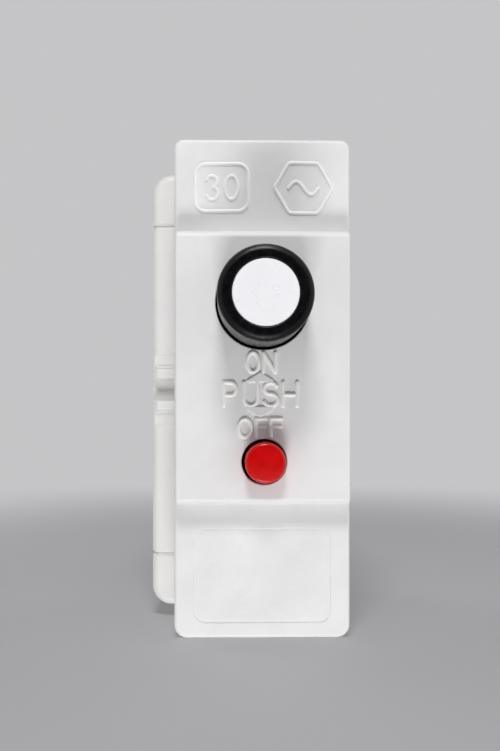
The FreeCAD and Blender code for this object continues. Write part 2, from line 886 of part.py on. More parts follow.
def contact_arm():
    """The moving arm: a bar on a hub, with a lug for the braid. Drawn closed, then swung open."""
    half = arm_width / 2
    bar = box((-half, half), (arm_back_y - arm_thickness, arm_back_y), (arm_z, on_height + arm_tip_above))
    hub = rod_x(arm_hub_radius, -hub_half, hub_half, arm_y, arm_z)
    lug = box(
        (-hub_half, -hub_half + lug_width),
        (arm_back_y - arm_thickness, arm_back_y),
        (arm_z - lug_length, arm_z),
    )
    arm = joined(hub, bar, lug)
    arm = arm.cut(rod_x(pin_radius + pin_clearance, -hub_half, hub_half, arm_y, arm_z))
    return opened(arm)


def latch_lever():
    """The lever that holds the plunger in: tooth, pad for the buttons' rods, armature's fork."""
    front = latch_y - latch_thickness / 2
    back = latch_y + latch_thickness / 2
    arm_half = latch_arm_width / 2
    hub = rod_x(latch_hub_radius, -hub_half, hub_half, latch_y, latch_height)
    pad = box((-hub_half, arm_half), (front, back), (latch_height - latch_pad_drop, latch_height))
    tail_end = coil_height - latch_tail_reach
    tail = box((-arm_half, arm_half), (front, back), (tail_end, latch_height))
    tooth_top = on_height - plunger_radius - tooth_gap
    tooth_front = latch_y - tooth_forward
    upper = plate_x(
        (
            (tooth_front, tooth_top),
            (tooth_front + tooth_length, tooth_top),
            (latch_y + tooth_root_half, latch_height),
            (latch_y - tooth_root_half, latch_height),
        ),
        -tooth_width / 2,
        tooth_width / 2,
    )
    lever = joined(hub, pad, tail, upper)
    fork_half = armature_rod_radius + fork_gap
    fork = box(
        (-fork_half, fork_half),
        (front, back),
        (tail_end, coil_height + fork_half + fork_top_gap),
    )
    lever = lever.cut(fork)
    return lever.cut(rod_x(pin_radius + pin_clearance, -hub_half, hub_half, latch_y, latch_height))


def coil_yoke():
    """The iron frame round the winding: a front plate, a floor and a rear plate."""
    floor_z = -cavity_half_height + fit_gap
    rear_y = yoke_y + yoke_length
    x = (-yoke_half_width, yoke_half_width)
    top = coil_height + yoke_rise
    front = box(x, (yoke_y, yoke_y + yoke_sheet), (floor_z, top))
    rear = box(x, (rear_y - yoke_sheet, rear_y), (floor_z, top))
    floor = box(x, (yoke_y, rear_y), (floor_z, floor_z + yoke_sheet))
    yoke = joined(front, rear, floor)
    front_hole = rod_y(armature_radius + bobbin_bore_gap, yoke_y, yoke_y + yoke_sheet, z=coil_height)
    rear_hole = rod_y(armature_radius + core_press_gap, rear_y - yoke_sheet, rear_y, z=coil_height)
    return yoke.cut(front_hole.fuse(rear_hole))


def coil_bobbin():
    """The moulded spool that the winding is wound on and the armature slides in."""
    start = yoke_y + yoke_sheet + bobbin_end_gap
    end = yoke_y + yoke_length - yoke_sheet - bobbin_end_gap
    bore = armature_radius + bobbin_bore_gap
    tube = rod_y(bore + bobbin_wall, start, end, z=coil_height)
    flanges = [
        rod_y(bobbin_flange_radius, start, start + bobbin_flange, z=coil_height),
        rod_y(bobbin_flange_radius, end - bobbin_flange, end, z=coil_height),
    ]
    return joined(tube, *flanges).cut(rod_y(bore, start, end, z=coil_height))


def trip_winding():
    """The copper winding, with a lead forward to the bimetal's bracket and one back to the load strip."""
    radius = winding_radius
    inset = yoke_sheet + bobbin_end_gap + bobbin_flange + winding_gap + winding_wire
    start = yoke_y + inset
    end = yoke_y + yoke_length - inset
    top = coil_height + radius
    quarters = 4 * winding_turns

    def at(step):
        angle = step * math.pi / 2
        y = start + (end - start) * step / quarters
        return Vector(radius * math.sin(angle), y, coil_height + radius * math.cos(angle))

    bend = 3 * winding_wire
    front_end = Vector(-lead_reach, yoke_y + solder_film, top)
    front_corner = Vector(-lead_reach, start, top)
    rear_corner = Vector(lead_reach, end, top)
    rear_end = Vector(lead_reach, strip_y - solder_film, top)
    edges = []
    edges.append(Part.LineSegment(front_end, front_corner - Vector(0, bend, 0)).toShape())
    edges.append(quarter_bend(front_corner, Vector(0, 1, 0), Vector(1, 0, 0), bend))
    edges.append(Part.LineSegment(front_corner + Vector(bend, 0, 0), Vector(0, start, top)).toShape())
    edges.extend(Part.Arc(at(q), at(q + 0.5), at(q + 1)).toShape() for q in range(quarters))
    edges.append(Part.LineSegment(at(quarters), rear_corner - Vector(bend, 0, 0)).toShape())
    edges.append(quarter_bend(rear_corner, Vector(1, 0, 0), Vector(0, 1, 0), bend))
    edges.append(Part.LineSegment(rear_corner + Vector(0, bend, 0), rear_end).toShape())
    ring = Part.Wire(Part.makeCircle(winding_wire, front_end, Vector(0, 1, 0)))
    return Part.Wire(edges).makePipeShell([ring], True, False)


def quarter_bend(corner, into, out, radius):
    """A quarter circle that rounds a corner from one direction to another."""
    first = corner - into * radius
    last = corner + out * radius
    middle = corner + (out - into) * (radius * (1 - math.sqrt(0.5)))
    return Part.Arc(first, middle, last).toShape()


def armature():
    """The sliding iron armature, with a rod and head that pull the latch lever's fork."""
    front = yoke_y - armature_front
    back = front + armature_length
    head_back = latch_y - latch_thickness / 2 - armature_travel - armature_stop_gap
    body = rod_y(armature_radius, front, back, z=coil_height)
    rod = rod_y(armature_rod_radius, head_back, front, z=coil_height)
    head = rod_y(armature_head_radius, head_back - armature_head_thickness, head_back, z=coil_height)
    bore = rod_y(bore_radius, back - armature_bore_depth, back, z=coil_height)
    return joined(body, rod, head).cut(bore)


def core_face_y():
    """The front face of the fixed core, past the armature's travel."""
    return yoke_y - armature_front + armature_length + armature_travel + armature_stop_gap


def fixed_core():
    """The iron core riveted in the yoke's rear plate."""
    rear_y = yoke_y + yoke_length
    core = rod_y(armature_radius, core_face_y(), rear_y, z=coil_height)
    bore = rod_y(bore_radius, core_face_y(), core_face_y() + core_bore_depth, z=coil_height)
    return core.cut(bore)


def bimetal_strip():
    """Two bonded layers of metal that bend towards the latch lever when they warm up."""
    x = (bimetal_left, bimetal_left + bimetal_width)
    z = (bimetal_root, bimetal_tip)
    radius = calibration_radius + pin_clearance
    hole = rod_y(radius, bimetal_y, bimetal_back_y, bimetal_middle, calibration_height)
    layers = []
    for layer in (0, 1):
        y0 = bimetal_y + layer * bimetal_layer
        layers.append(box(x, (y0, y0 + bimetal_layer), z).cut(hole))
    return Part.makeCompound(layers)


def bimetal_bracket():
    """The bracket that carries the bimetal's root on the front plate of the yoke."""
    x = (bimetal_left, bimetal_left + bimetal_width)
    bottom = bimetal_root - bracket_toe
    rear_top = coil_height + bracket_rear_rise
    front = box(x, (bimetal_back_y, bimetal_back_y + bracket_thickness), (bottom, bracket_top))
    base = box(x, (bimetal_back_y, yoke_y), (bottom, bottom + bracket_thickness))
    rear = box(x, (yoke_y - bracket_thickness, yoke_y), (bottom, rear_top))
    return joined(front, base, rear)


def calibration_screw():
    """The screw in the bimetal's tip that sets how far it bends before it trips the latch."""
    tip_y = latch_y - latch_thickness / 2 - calibration_gap
    start = bimetal_y - calibration_proud
    screw = rod_y(calibration_radius, start, tip_y, bimetal_middle, calibration_height)
    slot = box(
        (bimetal_middle - calibration_radius, bimetal_middle + calibration_radius),
        (start, start + calibration_slot),
        (calibration_height - calibration_slot / 2, calibration_height + calibration_slot / 2),
    )
    return screw.cut(slot)


def flexible_braid():
    """The copper braid from the bimetal to the contact arm's lug, as it lies with the breaker off."""
    lean = math.radians(open_angle)
    drop = lug_length - lug_edge
    lug_y = arm_y + drop * math.sin(lean) - arm_thickness / 2 / math.cos(lean)
    end_z = arm_z - drop * math.cos(lean)
    start = Vector(lug_middle, bimetal_back_y + solder_film, braid_height)
    end = Vector(lug_middle, lug_y - braid_end_gap - braid_radius * math.sin(lean), end_z)
    span = end.y - start.y
    points = [
        start,
        Vector(lug_middle, start.y + braid_level_share * span, braid_height),
        Vector(lug_middle, end.y - braid_end_share * span, end_z),
        end,
    ]
    return tube_along(points, braid_bend, braid_radius)


def arc_plates():
    """The stack of steel plates that splits the arc, each notched above the contacts."""
    top = cavity_half_height - chute_clearance
    plates = []
    for index in range(chute_plate_count):
        y = chute_y + index * chute_spacing
        plate = box((-chute_half_width, chute_half_width), (y, y + chute_plate), (chute_bottom, top))
        notch = box(
            (-chute_notch_width / 2, chute_notch_width / 2),
            (y, y + chute_plate),
            (chute_bottom, chute_bottom + chute_notch_height),
        )
        plates.append(plate.cut(notch))
    return Part.makeCompound(plates)


def arc_cheeks():
    """The two fibre side boards that the arc plates stand between."""
    top = cavity_half_height - chute_clearance / 2
    length = (chute_plate_count - 1) * chute_spacing + chute_plate + 2 * cheek_overhang
    cheeks = []
    for side in (-1, 1):
        x = (side * chute_half_width, side * (chute_half_width + cheek_thickness))
        y = (chute_y - cheek_overhang, chute_y - cheek_overhang + length)
        cheeks.append(box(x, y, (chute_bottom - chute_clearance / 2, top)))
    return Part.makeCompound(cheeks)


def on_return_spring():
    """The spring inside the ON button that pushes it out."""
    head_back = plateau_y - on_cap_proud + on_cap_front + plunger_head_thickness
    return spring(on_spring_radius, on_spring_wire, head_back, bridge_y, 0.0, on_height, on_spring_turns)


def off_return_spring():
    """The spring round the OFF button's stem."""
    return spring(
        off_spring_radius,
        off_spring_wire,
        flange_back_y,
        bridge_y,
        off_offset,
        off_height,
        off_spring_turns,
    )


def arm_opening_spring():
    """The spring behind the contact arm that throws it open."""
    lean = math.radians(open_angle)
    height = arm_spring_height
    low_side = height - arm_z - arm_spring_radius - arm_spring_wire
    face_y = arm_y - low_side * math.tan(lean) + arm_thickness / 2 / math.cos(lean)
    return spring(
        arm_spring_radius, arm_spring_wire, face_y, -arm_spring_shelf, 0.0, height, arm_spring_turns
    )


def latch_return_spring():
    """The spring between the frame's tab and the latch lever."""
    return spring(
        latch_spring_radius,
        latch_spring_wire,
        latch_y + latch_thickness / 2,
        tab_y,
        0.0,
        latch_spring_height,
        latch_spring_turns,
    )


def armature_return_spring():
    """The spring in the facing bores of the armature and the core."""
    start = yoke_y - armature_front + armature_length - armature_bore_depth
    end = core_face_y() + core_bore_depth
    return spring(
        armature_spring_radius,
        armature_spring_wire,
        start,
        end,
        0.0,
        coil_height,
        armature_spring_turns,
    )


def pieces():
    """Every piece of the breaker by its node's name."""
    return {
        "front_cover": front_cover(),
        "left_case_half": case_half(-1),
        "right_case_half": case_half(1),
        "upper_end_block": end_block(1),
        "lower_end_block": end_block(-1),
        "case_rivets": case_rivets(),
        "cover_screws": cover_screws(),
        "on_button_cap": on_button_cap(),
        "on_button_disc": on_button_disc(),
        "on_plunger": on_plunger(),
        "on_return_spring": on_return_spring(),
        "off_button": off_button(),
        "off_return_spring": off_return_spring(),
        "mechanism_frame": mechanism_frame(),
        "contact_arm_pin": pivot_pin(arm_y, arm_z),
        "latch_pin": pivot_pin(latch_y, latch_height),
        "line_plug_blade": plug_blade(1),
        "load_plug_blade": plug_blade(-1),
        "fixed_contact_strip": fixed_contact_strip(),
        "fixed_contact_tip": contact_tip(fixed_face_y, loop_y),
        "contact_arm": contact_arm(),
        "moving_contact_tip": opened(contact_tip(arm_back_y, arm_back_y + tip_thickness)),
        "arm_opening_spring": arm_opening_spring(),
        "latch_lever": latch_lever(),
        "latch_return_spring": latch_return_spring(),
        "coil_yoke": coil_yoke(),
        "coil_bobbin": coil_bobbin(),
        "trip_winding": trip_winding(),
        "armature": armature(),
        "fixed_core": fixed_core(),
        "armature_return_spring": armature_return_spring(),
        "load_strip": load_strip(),
        "bimetal_strip": bimetal_strip(),
        "bimetal_bracket": bimetal_bracket(),
        "calibration_screw": calibration_screw(),
        "flexible_braid": flexible_braid(),
        "arc_plates": arc_plates(),
        "arc_cheeks": arc_cheeks(),
    }


def main():
    os.makedirs("parts", exist_ok=True)
    for name, shape in pieces().items():
        shape.exportStep(f"parts/{name}.step")
        solids = len(shape.Solids)
        print(f"{name}: {solids} solids, valid {shape.isValid()}, {shape.Volume:.1f} mm3")
    print(f"contact arm opens by {open_angle:.3f} degrees at ({arm_y:.3f}, {arm_z:.3f})")
    print(f"latch lever turns about ({latch_y:.3f}, {latch_height:.3f})")


main()
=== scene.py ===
"""Looks of a plug-in miniature circuit breaker with an ON and an OFF push button."""

import math

import bpy
import numpy as np
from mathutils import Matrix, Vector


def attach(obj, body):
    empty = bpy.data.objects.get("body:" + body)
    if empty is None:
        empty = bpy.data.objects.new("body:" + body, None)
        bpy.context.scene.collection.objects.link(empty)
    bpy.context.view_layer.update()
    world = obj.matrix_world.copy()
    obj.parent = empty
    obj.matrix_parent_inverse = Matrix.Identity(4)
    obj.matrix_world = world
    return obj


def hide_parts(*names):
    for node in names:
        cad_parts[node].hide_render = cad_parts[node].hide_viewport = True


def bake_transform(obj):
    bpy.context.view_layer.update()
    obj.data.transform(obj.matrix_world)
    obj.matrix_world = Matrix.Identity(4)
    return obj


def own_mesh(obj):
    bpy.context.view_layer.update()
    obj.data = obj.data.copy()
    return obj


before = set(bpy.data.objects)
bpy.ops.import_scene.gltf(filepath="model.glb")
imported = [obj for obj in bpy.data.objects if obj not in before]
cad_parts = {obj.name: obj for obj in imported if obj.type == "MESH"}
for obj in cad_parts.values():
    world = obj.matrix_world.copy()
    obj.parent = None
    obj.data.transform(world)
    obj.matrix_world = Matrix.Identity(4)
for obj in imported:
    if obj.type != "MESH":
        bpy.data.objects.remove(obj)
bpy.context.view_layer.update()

MM = 0.001

# Planes from front to back, the buttons' middles, the label field and the floor, in millimetres
ON_FRONT = -61.0
OFF_FRONT = -52.0
PLATEAU = -49.0
PANEL = -46.0
FLANGE = -42.05
FLANGE_BACK = -40.65
ON_MIDDLE = (0.0, 12.25)
OFF_MIDDLE = (0.2, -10.95)
LABEL_CORNERS = [(-10.2, -35.0), (10.2, -35.0), (10.2, -20.9), (-10.2, -20.9)]
LABEL_MIDDLE = (0.0, -27.95)
LABEL_SIZE = (20.3, 14.0)
FLOOR_HEIGHT = -37.15

# Points round one section of each kind of round form
CAP_SIDES = 168
BUTTON_SIDES = 144
STROKE_SIDES = 16
WIRE_SIDES = 12
BRAID_SIDES = 48

# Places of the colours among the Mix node's inputs and outputs
FIRST_COLOUR, SECOND_COLOUR = 6, 7
MIXED_COLOUR = 2


# Meshes

def grid_faces(rows, columns, wrap=False):
    """Squares between neighbouring points of a grid stored row by row.

    With wrap, each row closes on itself.
    """
    row, column = np.meshgrid(
        np.arange(rows - 1), np.arange(columns if wrap else columns - 1), indexing="ij")
    here, below = row * columns, (row + 1) * columns
    beside = (column + 1) % columns
    return np.stack([here + column, here + beside, below + beside, below + column], -1).reshape(-1, 4)


def tube_faces(rows, around, loop=False):
    """The faces of a tube of rings of points, one ring after another.

    Each end gets one flat face, or with loop, the last ring joins the first.
    """
    faces = grid_faces(rows, around, wrap=True).tolist()
    first = np.arange(around)
    last = first + (rows - 1) * around
    if loop:
        return faces + np.stack([last, np.roll(last, -1), np.roll(first, -1), first], -1).tolist()
    return faces + [first[::-1].tolist(), last.tolist()]


def unit(arrows):
    """Each arrow of a list, divided by its own length."""
    return arrows / np.linalg.norm(arrows, axis=1)[:, None]


def tube_points(path, side, upward, radius, around):
    """Rings of points round a path: at each of its points, radius times (side cos a + upward sin a)."""
    angle = np.linspace(0, 2 * math.pi, around, endpoint=False)[:, None]
    ring = side[:, None] * np.cos(angle) + upward[:, None] * np.sin(angle)
    return (path[:, None] + radius * ring).reshape(-1, 3)


def make_piece(name, points, faces, finish, body="root", crease=40):
    """A mesh of points in millimetres, with smooth shading up to the crease angle in degrees.

    Six times the volume inside is the sum of a . (b x c) over the triangles that the faces fall into.
    Where it is below zero, all faces are turned round, so that they point outwards. The piece rides on
    a body, or on none.
    """
    points = np.asarray(points, float)
    triangles = np.array([(face[0], second, third)
                          for face in faces for second, third in zip(face[1:-1], face[2:])])
    a, b, c = points[triangles].transpose(1, 0, 2)
    if np.sum(a * np.cross(b, c)) < 0:
        faces = [face[::-1] for face in faces]
    mesh = bpy.data.meshes.new(name)
    mesh.from_pydata((points * MM).tolist(), [], faces)
    mesh.polygons.foreach_set("use_smooth", np.ones(len(faces), bool))
    mesh.set_sharp_from_angle(angle=math.radians(crease))
    mesh.materials.append(finish)
    mesh.update()
    piece = bpy.data.objects.new(name, mesh)
    bpy.context.scene.collection.objects.link(piece)
    if body:
        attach(piece, body)
    return piece


def corner_arc(middle, radius, start, end, steps):
    """Points of a quarter circle or so in the profile plane: (distance from the axis, y along it)."""
    angle = np.radians(np.linspace(start, end, steps))
    return np.stack([middle[0] + radius * np.cos(angle), middle[1] + radius * np.sin(angle)], -1).tolist()


def turned(name, profile, middle, finish, body, around=BUTTON_SIDES):
    """A closed profile turned about an axis along Y.

    Each profile point (radius, y) becomes a circle of points at x = middle x + radius cos a and
    z = middle z + radius sin a, and the two end points lie on the axis and are one point each.
    """
    profile = np.array(profile, float)
    angle = np.linspace(0, 2 * math.pi, around, endpoint=False)
    radius, height = profile[1:-1, 0][:, None], profile[1:-1, 1][:, None]
    rings = np.stack([
        middle[0] + radius * np.cos(angle),
        height + 0 * angle,
        middle[1] + radius * np.sin(angle),
    ], -1).reshape(-1, 3)
    ends = [(middle[0], profile[0, 1], middle[1]), (middle[0], profile[-1, 1], middle[1])]
    first = np.arange(around)
    last = len(rings) - around + first
    front = np.stack([np.full(around, len(rings)), np.roll(first, -1), first], -1)
    back = np.stack([np.full(around, len(rings) + 1), last, np.roll(last, -1)], -1)
    faces = grid_faces(len(profile) - 2, around, wrap=True).tolist()
    faces += np.stack([front, back], 1).reshape(-1, 3).tolist()
    return make_piece(name, np.vstack([rings, ends]), faces, finish, body)


# Degrees along the quarter circle that rounds the end of a stroke
END_TURNS = (22.5, 45, 67.5, 86)


def ridge(line, half_width, height, face_y):
    """The points and faces of one raised half-round stroke on a face across Y.

    An ellipse stands across the line and out of the face at each point of the line. On an open line
    the ellipses shrink along a quarter circle past both ends, up to a last small one that is closed by
    a flat face. A closed line joins its own start.
    """
    line = np.array(line, float)
    loop = np.allclose(line[0], line[-1])
    if loop:
        line = line[:-1]
        along = unit(np.roll(line, -1, 0) - np.roll(line, 1, 0))
        scale = np.ones(len(line))
    else:
        along = unit(np.gradient(line, axis=0))
        turn = np.radians(END_TURNS)
        reach, shrink = half_width * np.sin(turn), np.cos(turn)
        scale = np.concatenate([shrink[::-1], np.ones(len(line)), shrink])
        before, after = line[0] - along[0] * reach[::-1, None], line[-1] + along[-1] * reach[:, None]
        line = np.vstack([before, line, after])
        along = np.pad(along, ((len(turn), len(turn)), (0, 0)), mode="edge")
    across = np.stack([-along[:, 1], along[:, 0]], -1)
    angle = np.linspace(0, 2 * math.pi, STROKE_SIDES, endpoint=False)
    side = (half_width * scale)[:, None] * np.cos(angle)
    out = (height * scale)[:, None] * np.sin(angle)
    points = np.stack([
        line[:, :1] + across[:, :1] * side,
        face_y - out,
        line[:, 1:] + across[:, 1:] * side,
    ], -1).reshape(-1, 3)
    return points, tube_faces(len(line), STROKE_SIDES, loop)


def ridges(name, lines, half_width, height, face_y, finish, slot, body="root"):
    """All strokes of one raised word or sign as one piece."""
    points, faces, count = [], [], 0
    for line in lines:
        stroke, squares = ridge(line, half_width, height, face_y)
        points.append(stroke)
        faces += [[count + k for k in face] for face in squares]
        count += len(stroke)
    return make_piece(name, np.vstack(points), faces, finish, body, crease=80)


def arc(x, z, half_x, half_z, start, end, steps=20):
    """Part of an oval about (x, z), from one angle to another in degrees."""
    angle = np.radians(np.linspace(start, end, steps))
    return np.stack([x + half_x * np.cos(angle), z + half_z * np.sin(angle)], -1)


def run(*corners, steps=8):
    """Points along straight runs between corners."""
    corners = np.array(corners, float)
    share = np.linspace(0, 1, steps)[:, None]
    return np.vstack([a + (b - a) * share for a, b in zip(corners[:-1], corners[1:])])


# Strokes of each sign in a box one wide and one high
SIGNS = {
    "O": [arc(0.5, 0.5, 0.5, 0.5, 0, 360, 41)],
    "N": [run((0, 0), (0, 1)), run((0, 1), (1, 0)), run((1, 0), (1, 1))],
    "P": [run((0, 0), (0, 1)),
          np.vstack([run((0, 1), (0.62, 1), steps=4), arc(0.62, 0.73, 0.42, 0.27, 84, -84),
                     run((0.62, 0.46), (0, 0.46), steps=4)])],
    "U": [np.vstack([run((0, 1), (0, 0.36)), arc(0.5, 0.32, 0.5, 0.32, 184, 356), run((1, 0.36), (1, 1))])],
    "S": [np.vstack([arc(0.5, 0.755, 0.46, 0.245, 22, 262), arc(0.5, 0.26, 0.5, 0.26, 84, -158)])],
    "H": [run((0, 0), (0, 1)), run((1, 0), (1, 1)), run((0, 0.48), (1, 0.48))],
    "F": [run((0, 0), (0, 1)), run((0, 1), (1, 1)), run((0, 0.55), (0.92, 0.55))],
    "0": [arc(0.5, 0.5, 0.5, 0.5, 0, 360, 41)],
    "2": [np.vstack([arc(0.5, 0.7, 0.5, 0.3, 165, -20), run((0.9, 0.52), (0.0, 0.0)),
                     run((0.06, 0.0), (1.0, 0.0))])],
    "3": [np.vstack([arc(0.46, 0.76, 0.46, 0.24, 160, -84), arc(0.5, 0.26, 0.5, 0.26, 84, -160)])],
    "4": [run((0.78, 0), (0.78, 1)), run((0.78, 1), (0, 0.3)), run((0, 0.3), (1, 0.3))],
}


def word(signs):
    """The strokes of several signs, each (sign, left, right, foot, head) in millimetres on the face."""
    lines = []
    for sign, left, right, foot, head in signs:
        for stroke in SIGNS[sign]:
            lines.append(np.array([left, foot]) + stroke * np.array([right - left, head - foot]))
    return lines


def quarter_turned(lines, middle):
    """Strokes turned a quarter about a point, so that they read upwards."""
    x, z = middle
    return [np.stack([x - (line[:, 1] - z), z + (line[:, 0] - x)], -1) for line in lines]


def rounded_outline(corners, radius, steps=7):
    """A closed line round a polygon's corners: each corner becomes an arc tangent to both of its sides."""
    corners = np.array(corners, float)
    line = []
    for k, corner in enumerate(corners):
        back = corners[k - 1] - corner
        ahead = corners[(k + 1) % len(corners)] - corner
        back /= np.linalg.norm(back)
        ahead /= np.linalg.norm(ahead)
        half = 0.5 * math.acos(float(np.clip(back @ ahead, -1, 1)))
        middle = corner + (back + ahead) / np.linalg.norm(back + ahead) * radius / math.sin(half)
        first = corner + back * radius / math.tan(half) - middle
        last = corner + ahead * radius / math.tan(half) - middle
        start = math.atan2(first[1], first[0])
        sweep = (math.atan2(last[1], last[0]) - start + math.pi) % (2 * math.pi) - math.pi
        angle = start + sweep * np.linspace(0, 1, steps)
        line.append(middle + radius * np.stack([np.cos(angle), np.sin(angle)], -1))
    line = np.vstack(line)
    return np.vstack([line, line[:1]])


def set_in_rings(outline, inset, sunk, face_y):
    """Copies of a closed outline, each set in by its inset and sunk by its depth under a face across Y.

    A point moves inwards at right angles to the line between its two neighbours.
    """
    along = np.roll(outline, -1, 0) - np.roll(outline, 1, 0)
    inward = unit(np.stack([-along[:, 1], along[:, 0]], -1))
    if np.sum(inward * (outline.mean(0) - outline)) < 0:
        inward = -inward
    rings = outline[None] + inward[None] * inset[:, None, None]
    height = np.broadcast_to(face_y + sunk[:, None], rings.shape[:2])
    return np.stack([rings[..., 0], height, rings[..., 1]], -1).reshape(-1, 3)


def raised_plate(name, corners, corner_radius, height, edge, face_y, finish, slot):
    """A low plate with rounded edges on a face across Y.

    Copies of its outline are set in along a quarter circle while they rise out of the face, from a copy
    that lies below the face. After them comes a narrow flat rim, and the last copy is closed.
    """
    below_face, rim = 0.3, 0.03
    outline = rounded_outline(corners, corner_radius)[:-1]
    turn = np.radians(np.linspace(0, 90, 7))
    inset = np.concatenate([[0.0], edge * (1 - np.cos(turn)), [edge + rim]])
    rise = np.concatenate([[-below_face], height - edge + edge * np.sin(turn), [height]])
    points = set_in_rings(outline, inset, -rise, face_y)
    return make_piece(name, points, tube_faces(len(inset), len(outline)), finish, crease=50)


def sloped_border(name, corners, corner_radius, width, depth, face_y, finish):
    """The slope round a shallow recess, from the face at its outline down to its floor.

    Copies of the outline are set in evenly while the depth follows three times the square of the share
    less twice its cube, and two more copies close the border underneath.
    """
    underside = depth + 0.2
    outline = rounded_outline(corners, corner_radius, steps=12)[:-1]
    share = np.linspace(0, 1, 7)
    inset = np.concatenate([width * share, [width, 0.0]])
    sunk = np.concatenate([depth * share * share * (3 - 2 * share), [underside, underside]])
    points = set_in_rings(outline, inset, sunk, face_y)
    return make_piece(name, points, tube_faces(len(inset), len(outline), loop=True), finish, crease=50)


def stippled_field(name, middle, size, corner, face_y, finish):
    """The grained floor of the label field.

    A grid over a rectangle, a little in front of the moulded recess. Its height is the sum of seeded
    random grain, smoothed over neighbouring points, seeded patches averaged over wider squares, and slow
    waves. Outside a rounded rectangle it falls away behind the recess, so that only the rounded field shows.
    """
    # The grid's step, how far the field stands in front of the face and its edge behind it, the wall under
    # the edge, and the width over which the field falls away
    step, in_front, behind, wall, fall_width = 0.115, 0.02, 0.09, 0.3, 0.45
    # Heights of the three patterns, and how many times its spread the random ones may reach
    grain_height, patch_height, wave_height, most = 0.008, 0.007, 0.003, 2.5
    columns, rows = int(size[0] / step), int(size[1] / step)
    x = np.linspace(-size[0] / 2, size[0] / 2, columns)
    z = np.linspace(-size[1] / 2, size[1] / 2, rows)
    z, x = np.meshgrid(z, x, indexing="ij")
    chance = np.random.default_rng(7)
    grain = chance.normal(size=x.shape)
    for shift in ((0, 1), (1, 0), (0, -1), (-1, 0)):
        grain = grain + 0.6 * np.roll(chance.normal(size=x.shape), shift, (0, 1))
    grain = (grain + np.roll(grain, 1, 0) + np.roll(grain, 1, 1)) / 3
    patches = chance.normal(size=x.shape)
    for width in (2, 3):
        patches = sum(np.roll(patches, (across, up), (0, 1))
                      for across in range(width) for up in range(width))
    patches = patches / patches.std()
    waves = np.sin(x * 1.3 + 0.7) * np.cos(z * 1.1) + np.sin(x * 0.6 - z * 0.8)
    outside_x = np.maximum(np.abs(x) - size[0] / 2 + corner, 0)
    outside_z = np.maximum(np.abs(z) - size[1] / 2 + corner, 0)
    inside = np.clip((corner - np.hypot(outside_x, outside_z)) / fall_width, 0, 1)
    inside = inside * inside * (3 - 2 * inside)
    rise = (grain_height * np.clip(grain, -most, most) + patch_height * np.clip(patches, -most, most)
            + wave_height * waves)
    front = face_y - in_front - rise * inside + (1 - inside) * behind
    top = np.stack([middle[0] + x, front, middle[1] + z], -1).reshape(-1, 3)
    border = np.concatenate([
        np.arange(columns),
        np.arange(1, rows) * columns + columns - 1,
        (rows - 1) * columns + np.arange(columns - 2, -1, -1),
        np.arange(rows - 2, 0, -1) * columns,
    ])
    below = top[border] + np.array([0, wall, 0])
    under = len(top) + np.arange(len(border))
    faces = grid_faces(rows, columns).tolist()
    faces += np.stack([np.roll(border, -1), border, under, np.roll(under, -1)], -1).tolist()
    faces.append(under.tolist())
    return make_piece(name, np.vstack([top, below]), faces, finish, crease=60)


def wire_coil(name, node, middle, ends, radius, wire, turns, finish):
    """A compression spring: a tube of round wire along a helix about an axis along Y.

    The angle grows evenly. Over the first and the last turn the height grows by no more than keeps the
    wire clear of itself, and between them it climbs evenly. An average over neighbouring points rounds
    the two bends in it.
    """
    steps_a_turn, averaged = 30, 13
    clear = 1.05 * wire
    low, high, flat = ends[0] + clear, ends[1] - clear, 2 * clear
    share = np.linspace(0, turns, steps_a_turn * turns + 1)
    climb = (high - low - 2 * flat) / (turns - 2)
    height = np.where(share < 1, flat * share, np.where(
        share > turns - 1, high - low - flat * (turns - share), flat + climb * (share - 1)))
    longer = np.pad(height, averaged // 2, mode="edge")
    smooth = np.convolve(longer, np.ones(averaged) / averaged, mode="valid")
    angle = 2 * math.pi * share
    path = np.stack([
        middle[0] + radius * np.cos(angle), low + smooth, middle[1] + radius * np.sin(angle)], -1)
    outward = np.stack([np.cos(angle), 0 * angle, np.sin(angle)], -1)
    upward = np.cross(unit(np.gradient(path, axis=0)), outward)
    points = tube_points(path, outward, upward, wire, WIRE_SIDES)
    piece = make_piece(name, points, tube_faces(len(path), WIRE_SIDES), finish, crease=60)
    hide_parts(node)
    return piece


def woven_lead(name, node, corners, radius, finish):
    """A short round braid: a tube along a smooth line through its corners.

    The line is a quadratic blend at each corner. The tube's radius swells where strands that wind both
    ways cross on top, which is where the two families of diagonal waves peak.
    """
    rings, steps, strands, twist = 150, 18, 4, 2.2
    thinnest, swelling = 0.86, 0.13
    corners = np.array(corners, float)
    share = np.linspace(0, 1, steps)[:, None]
    halves = (corners[1:] + corners[:-1]) / 2
    line = [corners[0] + (halves[0] - corners[0]) * share]
    for a, b, c in zip(halves[:-1], corners[1:-1], halves[1:]):
        line.append(((1 - share) ** 2 * a + 2 * share * (1 - share) * b + share ** 2 * c)[1:])
    line.append((halves[-1] + (corners[-1] - halves[-1]) * share)[1:])
    line = np.vstack(line)
    length = np.concatenate([[0], np.cumsum(np.linalg.norm(np.diff(line, axis=0), axis=1))])
    even = np.linspace(0, length[-1], rings)
    line = np.stack([np.interp(even, length, line[:, k]) for k in range(3)], -1)
    side = np.repeat([[1.0, 0.0, 0.0]], rings, 0)
    upward = np.cross(unit(np.gradient(line, axis=0)), side)
    angle = strands * np.linspace(0, 2 * math.pi, BRAID_SIDES, endpoint=False)
    turn = even[:, None] * twist
    over = np.maximum(np.abs(np.sin(angle + turn)), np.abs(np.sin(angle - turn)))
    swell = radius * (thinnest + swelling * over)
    points = tube_points(line, side, upward, swell[..., None], BRAID_SIDES)
    piece = make_piece(name, points, tube_faces(rings, BRAID_SIDES), finish, body=None, crease=80)
    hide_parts(node)
    return piece


# Finishes

